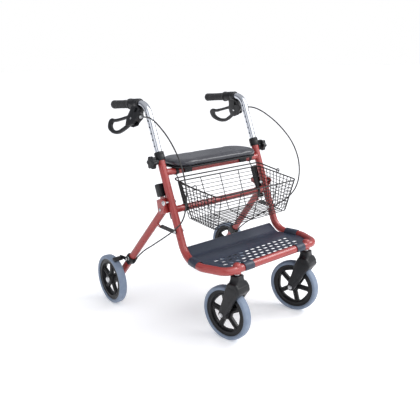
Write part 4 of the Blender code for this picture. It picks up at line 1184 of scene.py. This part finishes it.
def make_leg(name, side):
    body = f"leg_{name}"
    top = [(FRAME_R * math.sin(a), -FRAME_R * math.cos(a)) for a in quarter()]
    length = (leg_point(LEG_LENGTH + 0.018) - HINGE).length
    place = basis(HINGE, LEG_DOWN, OUT.cross(LEG_DOWN).normalized())
    tube = moved(turned(top + [(FRAME_R, 0.0), (FRAME_R, length), (0, length)], 40), place)
    near = leg_point(0.075)
    lug = [(near.y + 0.004, near.z + 0.01), (STRUT_END.y - 0.001, STRUT_END.z + 0.0065),
           (STRUT_END.y - 0.0055, STRUT_END.z - 0.0015), (STRUT_END.y + 0.0015, STRUT_END.z - 0.006),
           (near.y + 0.01, near.z - 0.006)]
    ear = plate(filleted(lug, 0.002, 4), *LUG_X, 0.0006, place=SIDE_VIEW)
    piece(f"leg_tube_{name}", merged(tube, ear), "frame", body, [f"rear_leg_{name}"], side)
    stud = moved(bar(0.003, STRUT_X[0] - 0.0004, LUG_X[1] + 0.0012, 0.0004), along_x(STRUT_END))
    piece(f"leg_stud_{name}", stud, "steel", body, (), side)
    plug = [(0, length - 0.001), (FRAME_R + 0.0003, length - 0.001), (FRAME_R + 0.0003, length + 0.0015),
            (FRAME_R - 0.001, length + 0.0025), (0, length + 0.0028)]
    piece(f"leg_plug_{name}", moved(turned(plug, 40), place), "plastic", body, (), side)


def rear_wheel_place():
    return Matrix.Translation(REAR_AXLE) @ Matrix.Rotation(REAR_TOE, 4, "Z")


ARM_PIVOT = leg_point(0.31)
ARM_X = (0.301, 0.305)
SHOE_ANGLE = math.radians(116)
SHOE_GAP = 0.004
SHOE_OUTER_X = 0.3398


def leg_place(distance):
    outwards = (OUT - LEG_DOWN * OUT.dot(LEG_DOWN)).normalized()
    return basis(leg_point(distance), LEG_DOWN, outwards)


def make_rear_brake(name, side):
    block = filleted(rectangle((-0.0174, -0.0174), (0.0174, 0.0174)), 0.008, 6)
    hole = circle(FRAME_R + 0.0003)
    place = leg_place(BRAKE_AT) @ Matrix.Rotation(-math.pi / 2, 4, "Y")
    body = plate(block, -0.0158, 0.0178, 0.0016, holes=[hole], place=place)
    pivot = Vector((0, ARM_PIVOT.y, ARM_PIVOT.z))
    pin = moved(bar(0.006, 0.294, 0.3006), along_x(pivot))
    distance, forward = CABLE_STOP
    stop = [leg_point(distance + length) + LEG_FRONT * forward for length in (0.0003, 0.016)]
    shapes = [body, pin, swept(stop, 0.0045, 24)]
    piece(f"brake_clamp_{name}", merged(*shapes), "plastic", f"leg_{name}", [f"brake_bracket_{name}"], side)
    screws = [dome_head((0.3052, pivot.y, pivot.z), 0.006, 0.0026, recess=0.0014),
              moved(bar(0.0039, 0.299, 0.306, 0.0003), along_x(pivot))]
    piece(f"brake_clamp_screw_{name}", merged(*screws), "steel", f"leg_{name}", (), side)

    radial = Vector((0, math.cos(SHOE_ANGLE), math.sin(SHOE_ANGLE)))
    tangent = Vector((0, -radial.z, radial.y))
    axle = Vector((0, REAR_AXLE.y, REAR_AXLE.z))
    low, high = WHEEL_R + SHOE_GAP, WHEEL_R + SHOE_GAP + 0.01
    shoe = [axle + radial * r + tangent * t for r, t in
            [(low, -0.01), (low - 0.0002, 0.0), (low + 0.0006, 0.01), (high, 0.008), (high, -0.008)]]
    arm = arc((pivot.y, pivot.z), 0.0085, 60, 300, 20)
    arm += [(shoe[0].y, shoe[0].z), (shoe[4].y + 0.004, shoe[4].z + 0.002)]
    swing = plate(filleted(arm, 0.003, 4), *ARM_X, 0.0009, place=SIDE_VIEW)
    outline = filleted([(point.y, point.z) for point in shoe], 0.002, 4)
    pad = plate(outline, ARM_X[0] + 0.0007, SHOE_OUTER_X, 0.0012, place=SIDE_VIEW)
    piece(f"brake_shoe_{name}", merged(swing, pad), "plastic", f"brake_arm_{name}", [f"brake_arm_{name}"], side)

    spring = []
    for i in range(90):
        angle = i * 0.42
        spring.append(Vector((0.2975 + i * 0.00003, pivot.y + 0.0075 * math.cos(angle),
                              pivot.z + 0.0075 * math.sin(angle))))
    spring.append(Vector((0.3005, pivot.y + 0.02, pivot.z - 0.003)))
    piece(f"brake_spring_{name}", swept(spring, 0.0006, 8), "steel", f"leg_{name}", (), side)


def make_rear_axle(name, side):
    place = rear_wheel_place()
    nut = plate(hexagon(0.015), -0.056, -0.05, 0.0006, place=place @ Matrix.Rotation(math.pi / 2, 4, "Y"))
    shaft = moved(bar(0.0045, -0.057, 0.0172), place)
    spacer = moved(bar(0.0075, -0.0185, -0.0168, 0.0003), place)
    cap = [(0, 0.0168), (0.012, 0.0168), (0.0125, 0.0173), (0.0125, 0.0195), (0.0118, 0.0215), (0.01, 0.0232),
           (0.007, 0.0244), (0.0035, 0.0249), (0, 0.025)]
    piece(f"rear_axle_steel_{name}", merged(nut, shaft, spacer, moved(turned(cap, 36), place)), "steel",
          f"leg_{name}", [f"rear_axle_{name}"], side)


# ---------------------------------------------------------------- wheels
def tyre_shape():
    half = [(0.085, 0.0118), (0.0866, 0.0143), (0.0886, 0.0155), (0.0915, 0.016), (0.0945, 0.0157),
            (0.0968, 0.0145), (0.0985, 0.0125), (0.0994, 0.01), (0.0998, 0.008), (0.0996, 0.0074),
            (0.0992, 0.007), (0.0992, 0.0062), (0.0996, 0.0058), (0.0999, 0.0052), (0.1, 0.003), (0.1, 0.0)]
    return turned(both_ways(half), 112, ring=True)


def wheel_window(spoke, outer=0.0662, inner=0.025, half_spoke=0.0088, corner=0.004, straighter=0.0045):
    """The opening between two spokes of even width: nearly a triangle, with rounded corners."""
    middle = 90 + spoke * 72
    wide = 36 - math.degrees(math.asin(half_spoke / outer))
    narrow = 36 - math.degrees(math.asin(half_spoke / inner))
    outline = []
    for across in (-1, -0.55, -0.37, -0.18, 0, 0.18, 0.37, 0.55, 1):
        angle = math.radians(middle + wide * across)
        radius = outer - straighter * (1 - across ** 2)
        outline.append((radius * math.cos(angle), radius * math.sin(angle)))
    outline += arc((0, 0), inner, middle + narrow, middle - narrow, 2)
    return filleted(outline, corner, 8)


def rim_shape():
    """A moulded rim: hub, five spokes with raised ribs, and a channelled ring under the tyre."""
    face = Matrix.Rotation(math.pi / 2, 4, "Y") @ Matrix.Rotation(math.pi / 2, 4, "Z")
    disc = arc((0, 0), 0.0685, 0, 356, 89)
    centre = circle(0.01)
    web = plate(disc, -0.0058, 0.0058, 0.0016, holes=[wheel_window(i) for i in range(5)] + [centre], place=face)
    ring_half = [(0.0672, 0.0), (0.0672, 0.0095), (0.068, 0.0112), (0.0692, 0.012), (0.0712, 0.012),
                 (0.0722, 0.0113), (0.0732, 0.0106), (0.08, 0.0106), (0.081, 0.0112), (0.082, 0.0119),
                 (0.0846, 0.0119), (0.0849, 0.0112), (0.0849, 0.0)]
    ring = turned(both_ways(ring_half), 96, ring=True)
    hub_half = [(0.005, 0.0), (0.005, 0.013), (0.012, 0.0134), (0.0128, 0.015), (0.013, 0.0163),
                (0.0178, 0.0163), (0.019, 0.0152), (0.02, 0.009), (0.0215, 0.006), (0.0215, 0.0)]
    hub = turned(both_ways(hub_half), 48, ring=True)
    shapes = [web, ring, hub]
    for spoke in range(5):
        angle = math.radians(54 + spoke * 72)
        for flip, turn in ((0, angle), (math.pi, math.pi - angle)):
            rib = plate(filleted(rectangle((0.018, -0.002), (0.069, 0.002)), 0.001, 3), 0.005, 0.0082, 0.0009)
            shapes.append(moved(rib, Matrix.Rotation(flip, 4, "Z") @ face @ Matrix.Rotation(turn, 4, "Z")))
    return merged(*shapes)


# How far each wheel stands turned about its axle, so that the spokes point differently.
WHEEL_TURN = {
    ("rear", "L"): math.radians(-30),
    ("rear", "R"): math.radians(-30),
    ("caster", "L"): math.radians(-15),
    ("caster", "R"): math.radians(-45),
}


def bearing_shape():
    half = [(0.005, 0.0136), (0.0062, 0.0142), (0.0108, 0.0142), (0.0118, 0.0136)]
    return merged(turned([(0.005, 0.012)] + half + [(0.0118, 0.012)], 36),
                  turned([(0.005, -0.012)] + [(r, -x) for r, x in half] + [(0.0118, -0.012)], 36))


def make_wheel(kind, name, place, side):
    body = f"{kind}_wheel_{name}"
    place = place @ Matrix.Rotation(WHEEL_TURN[kind, name], 4, "X")
    piece(f"{kind}_rim_disc_{name}", moved(rim_shape(), place), "rim", body, [f"{kind}_rim_{name}"], side,
          sharp=45)
    piece(f"{kind}_tyre_ring_{name}", moved(tyre_shape(), place), "tyre", body, [f"{kind}_tyre_{name}"], side,
          sharp=60)
    piece(f"{kind}_bearings_{name}", moved(bearing_shape(), place), "steel", body, (), side)


# ---------------------------------------------------------------- casters
FORK_HALF = 0.0325
FORK_TOP = 0.254
# The head's levels, narrowing from the shell to the stem: height, half width, front, back, corner radius.
FORK_HEAD = [
    (0.213, 0.0315, -0.0285, 0.023, 0.012),
    (0.223, 0.03, -0.0262, 0.0215, 0.012),
    (0.23, 0.0248, -0.0218, 0.0195, 0.0105),
    (0.236, 0.0206, -0.0192, 0.0187, 0.009),
    (0.243, 0.019, -0.0182, 0.0182, 0.008),
    (0.2512, 0.0185, -0.018, 0.018, 0.0075),
    (0.2531, 0.0178, -0.0173, 0.0173, 0.007),
    (FORK_TOP, 0.016, -0.0155, 0.0155, 0.006),
]


def make_caster(name, side):
    """Drawn where it stands: each caster is turned its own way, so this isn't mirrored."""
    body = f"caster_{name}"
    swivel = Matrix.Translation((STEM.x * side, STEM.y, 0)) @ Matrix.Rotation(CASTER_YAW[name], 4, "Z")
    wheel = swivel @ Matrix.Translation((0, CASTER_TRAIL, WHEEL_R))
    up = swivel @ Matrix.Rotation(-math.pi / 2, 4, "Y")
    view = swivel @ SIDE_VIEW

    outline = [(-0.019, 0.23), (-0.03, 0.215), (-0.0335, 0.1985), (-0.0165, 0.175)]
    outline += arc((CASTER_TRAIL, WHEEL_R), 0.0155, 205, 370, 14)
    outline += [(0.043, 0.16), (0.03, 0.203), (0.0175, 0.23)]
    fork = plate(filleted(outline, 0.012, 8), -FORK_HALF, FORK_HALF, 0.006, place=SIDE_VIEW)
    room = moved(turned([(0, -0.0195), (WHEEL_R + 0.005, -0.0195), (WHEEL_R + 0.0065, -0.018),
                         (WHEEL_R + 0.0065, 0.018), (WHEEL_R + 0.005, 0.0195), (0, 0.0195)], 80),
                 along_x((0, CASTER_TRAIL, WHEEL_R)))
    fork = moved(without(fork, room), swivel)
    shapes = [fork, lofted([(z, rounded_rectangle((-across, front), (across, back), corner))
                            for z, across, front, back, corner in FORK_HEAD], swivel)]
    for cheek in (-1, 1):
        panel = [(-0.016, 0.211), (-0.021, 0.2), (-0.008, 0.18), (0.0395, 0.114), (0.048, 0.117),
                 (0.035, 0.162), (0.023, 0.2), (0.014, 0.214)]
        low, high = sorted((cheek * (FORK_HALF - 0.001), cheek * (FORK_HALF + 0.0008)))
        shapes.append(plate(filleted(panel, 0.006, 6), low, high, 0.0006, place=view))
    piece(f"caster_fork_shell_{name}", merged(*shapes), "plastic", body, [f"caster_fork_{name}"], sharp=50)

    stem = [(0, 0.2535), (0.006, 0.2535), (0.0095, 0.2543), (0.0098, 0.255), (0.0098, 0.2575), (0.0092, 0.2584),
            (0.006, 0.259), (0.006, 0.287), (0, 0.287)]
    piece(f"caster_stem_steel_{name}", moved(turned(stem, 36), up), "steel", body, [f"caster_stem_{name}"])

    shapes = [moved(bar(0.0042, -FORK_HALF - 0.001, FORK_HALF + 0.001), wheel)]
    for cheek in (1, -1):
        end = plate(hexagon(0.0128), 0.0, 0.0042, 0.0005)
        washer = plate(circle(0.0082), -0.0002, 0.0009, 0.0003)
        turn = Matrix.Rotation(math.pi / 2 * cheek, 4, "Y")
        lift = Matrix.Translation(((FORK_HALF + 0.0004) * cheek, 0, 0))
        shapes.append(moved(merged(end, washer), wheel @ lift @ turn))
    piece(f"caster_axle_steel_{name}", merged(*shapes), "steel", body, [f"caster_axle_{name}"])
    make_wheel("caster", name, wheel, 1)


# ---------------------------------------------------------------- floor, light and camera
def floor_material():
    made, tree, shader, at = start_material("pale_floor", 0.7)
    cloud = noise(tree, at, 1.2, 2)
    two_tone(tree, shader, spread(tree, cloud, 0, 1), (0.92, 0.92, 0.93), (0.94, 0.94, 0.95))
    shader.inputs["Specular IOR Level"].default_value = 0.1
    shader.inputs["Emission Color"].default_value = (1.0, 1.0, 1.0, 1.0)
    shader.inputs["Emission Strength"].default_value = 0.22
    return made


def make_stage():
    shape = bmesh.new()
    corners = [shape.verts.new((x, y, 0)) for x, y in ((-40, -40), (40, -40), (40, 40), (-40, 40))]
    shape.faces.new(corners)
    floor = as_object("floor", shape)
    floor.data.materials.append(floor_material())


def add_light(name, kind, place, target, size, power):
    light = bpy.data.lights.new(name, kind)
    light.energy = power
    if kind == "SUN":
        light.angle = size
    else:
        light.shape = "DISK"
        light.size = size
    made = bpy.data.objects.new(name, light)
    bpy.context.scene.collection.objects.link(made)
    made.location = place
    made.rotation_euler = (Vector(target) - Vector(place)).to_track_quat("-Z", "Y").to_euler()


def make_lights():
    add_light("key", "SUN", (0.6, -2.2, 1.9), (0, 0, 0.3), math.radians(80), 2.0)
    add_light("softbox", "AREA", (2.1, -1.25, 2.35), (0, -0.1, 0.4), 1.7, 44)
    add_light("fill", "AREA", (-2.6, -0.5, 1.3), (0, 0, 0.4), 1.8, 9)
    world = bpy.data.worlds.new("studio")
    bpy.context.scene.world = world
    world.use_nodes = True
    tree = world.node_tree
    direction = tree.nodes.new("ShaderNodeTexCoord").outputs["Generated"]
    split = tree.nodes.new("ShaderNodeSeparateXYZ")
    tree.links.new(direction, split.inputs["Vector"])
    ramp = tree.nodes.new("ShaderNodeValToRGB")
    low, high = ramp.color_ramp.elements
    low.position, low.color = 0.0, (0.12, 0.13, 0.16, 1)
    high.position, high.color = 0.75, (0.7, 0.71, 0.74, 1)
    tree.links.new(split.outputs["Z"], ramp.inputs["Fac"])
    seen = tree.nodes.new("ShaderNodeLightPath").outputs["Is Camera Ray"]
    choice = tree.nodes.new("ShaderNodeMixShader")
    surroundings = tree.nodes["Background"]
    backdrop = tree.nodes.new("ShaderNodeBackground")
    backdrop.inputs["Color"].default_value = (1.0, 1.0, 1.0, 1.0)
    tree.links.new(ramp.outputs["Color"], surroundings.inputs["Color"])
    tree.links.new(seen, choice.inputs["Fac"])
    tree.links.new(surroundings.outputs["Background"], choice.inputs[1])
    tree.links.new(backdrop.outputs["Background"], choice.inputs[2])
    tree.links.new(choice.outputs["Shader"], tree.nodes["World Output"].inputs["Surface"])
    bpy.context.scene.view_settings.view_transform = "Standard"


CAMERA_ROLL = math.radians(-0.99)
CAMERA_AT = Vector((-1.3687, -1.5833, 0.972))
CAMERA_TARGET = Vector((0, 0.0281, 0.3773))
CAMERA_LENS = 46.96


def make_camera():
    lens = bpy.data.cameras.new("camera")
    lens.lens = CAMERA_LENS
    lens.sensor_width = 36
    camera = bpy.data.objects.new("camera", lens)
    bpy.context.scene.collection.objects.link(camera)
    camera.location = CAMERA_AT
    level = (CAMERA_TARGET - CAMERA_AT).to_track_quat("-Z", "Y").to_matrix()
    camera.rotation_euler = (level @ Matrix.Rotation(CAMERA_ROLL, 3, "Z")).to_euler()
    bpy.context.scene.camera = camera


# ---------------------------------------------------------------- everything
def main():
    make_camera()
    make_frame()
    make_cross_tubes()
    make_seat_base()
    make_seat_cushion()
    make_tray()
    make_basket()
    make_bail()
    for name, side in SIDES.items():
        make_hinge_bracket(name, side)
        make_bolts(name, side)
        make_fold_release(name, side)
        make_strap(name, side)
        make_collar(name, side)
        make_knob(name, side)
        make_handle_tube(name, side)
        make_grip(name, side)
        make_brake_housing(name, side)
        make_brake_lever(name, side)
        make_cable(name, side)
        make_leg(name, side)
        make_strut(name, side)
        make_rear_brake(name, side)
        make_rear_axle(name, side)
        make_wheel("rear", name, rear_wheel_place(), side)
        make_caster(name, side)
    make_stage()
    make_lights()


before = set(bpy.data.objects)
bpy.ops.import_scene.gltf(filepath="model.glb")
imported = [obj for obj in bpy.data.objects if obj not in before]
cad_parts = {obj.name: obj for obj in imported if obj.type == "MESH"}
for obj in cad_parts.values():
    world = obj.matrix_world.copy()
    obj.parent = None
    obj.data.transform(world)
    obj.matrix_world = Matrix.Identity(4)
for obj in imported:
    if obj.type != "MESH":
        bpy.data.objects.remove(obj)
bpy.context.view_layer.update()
main()
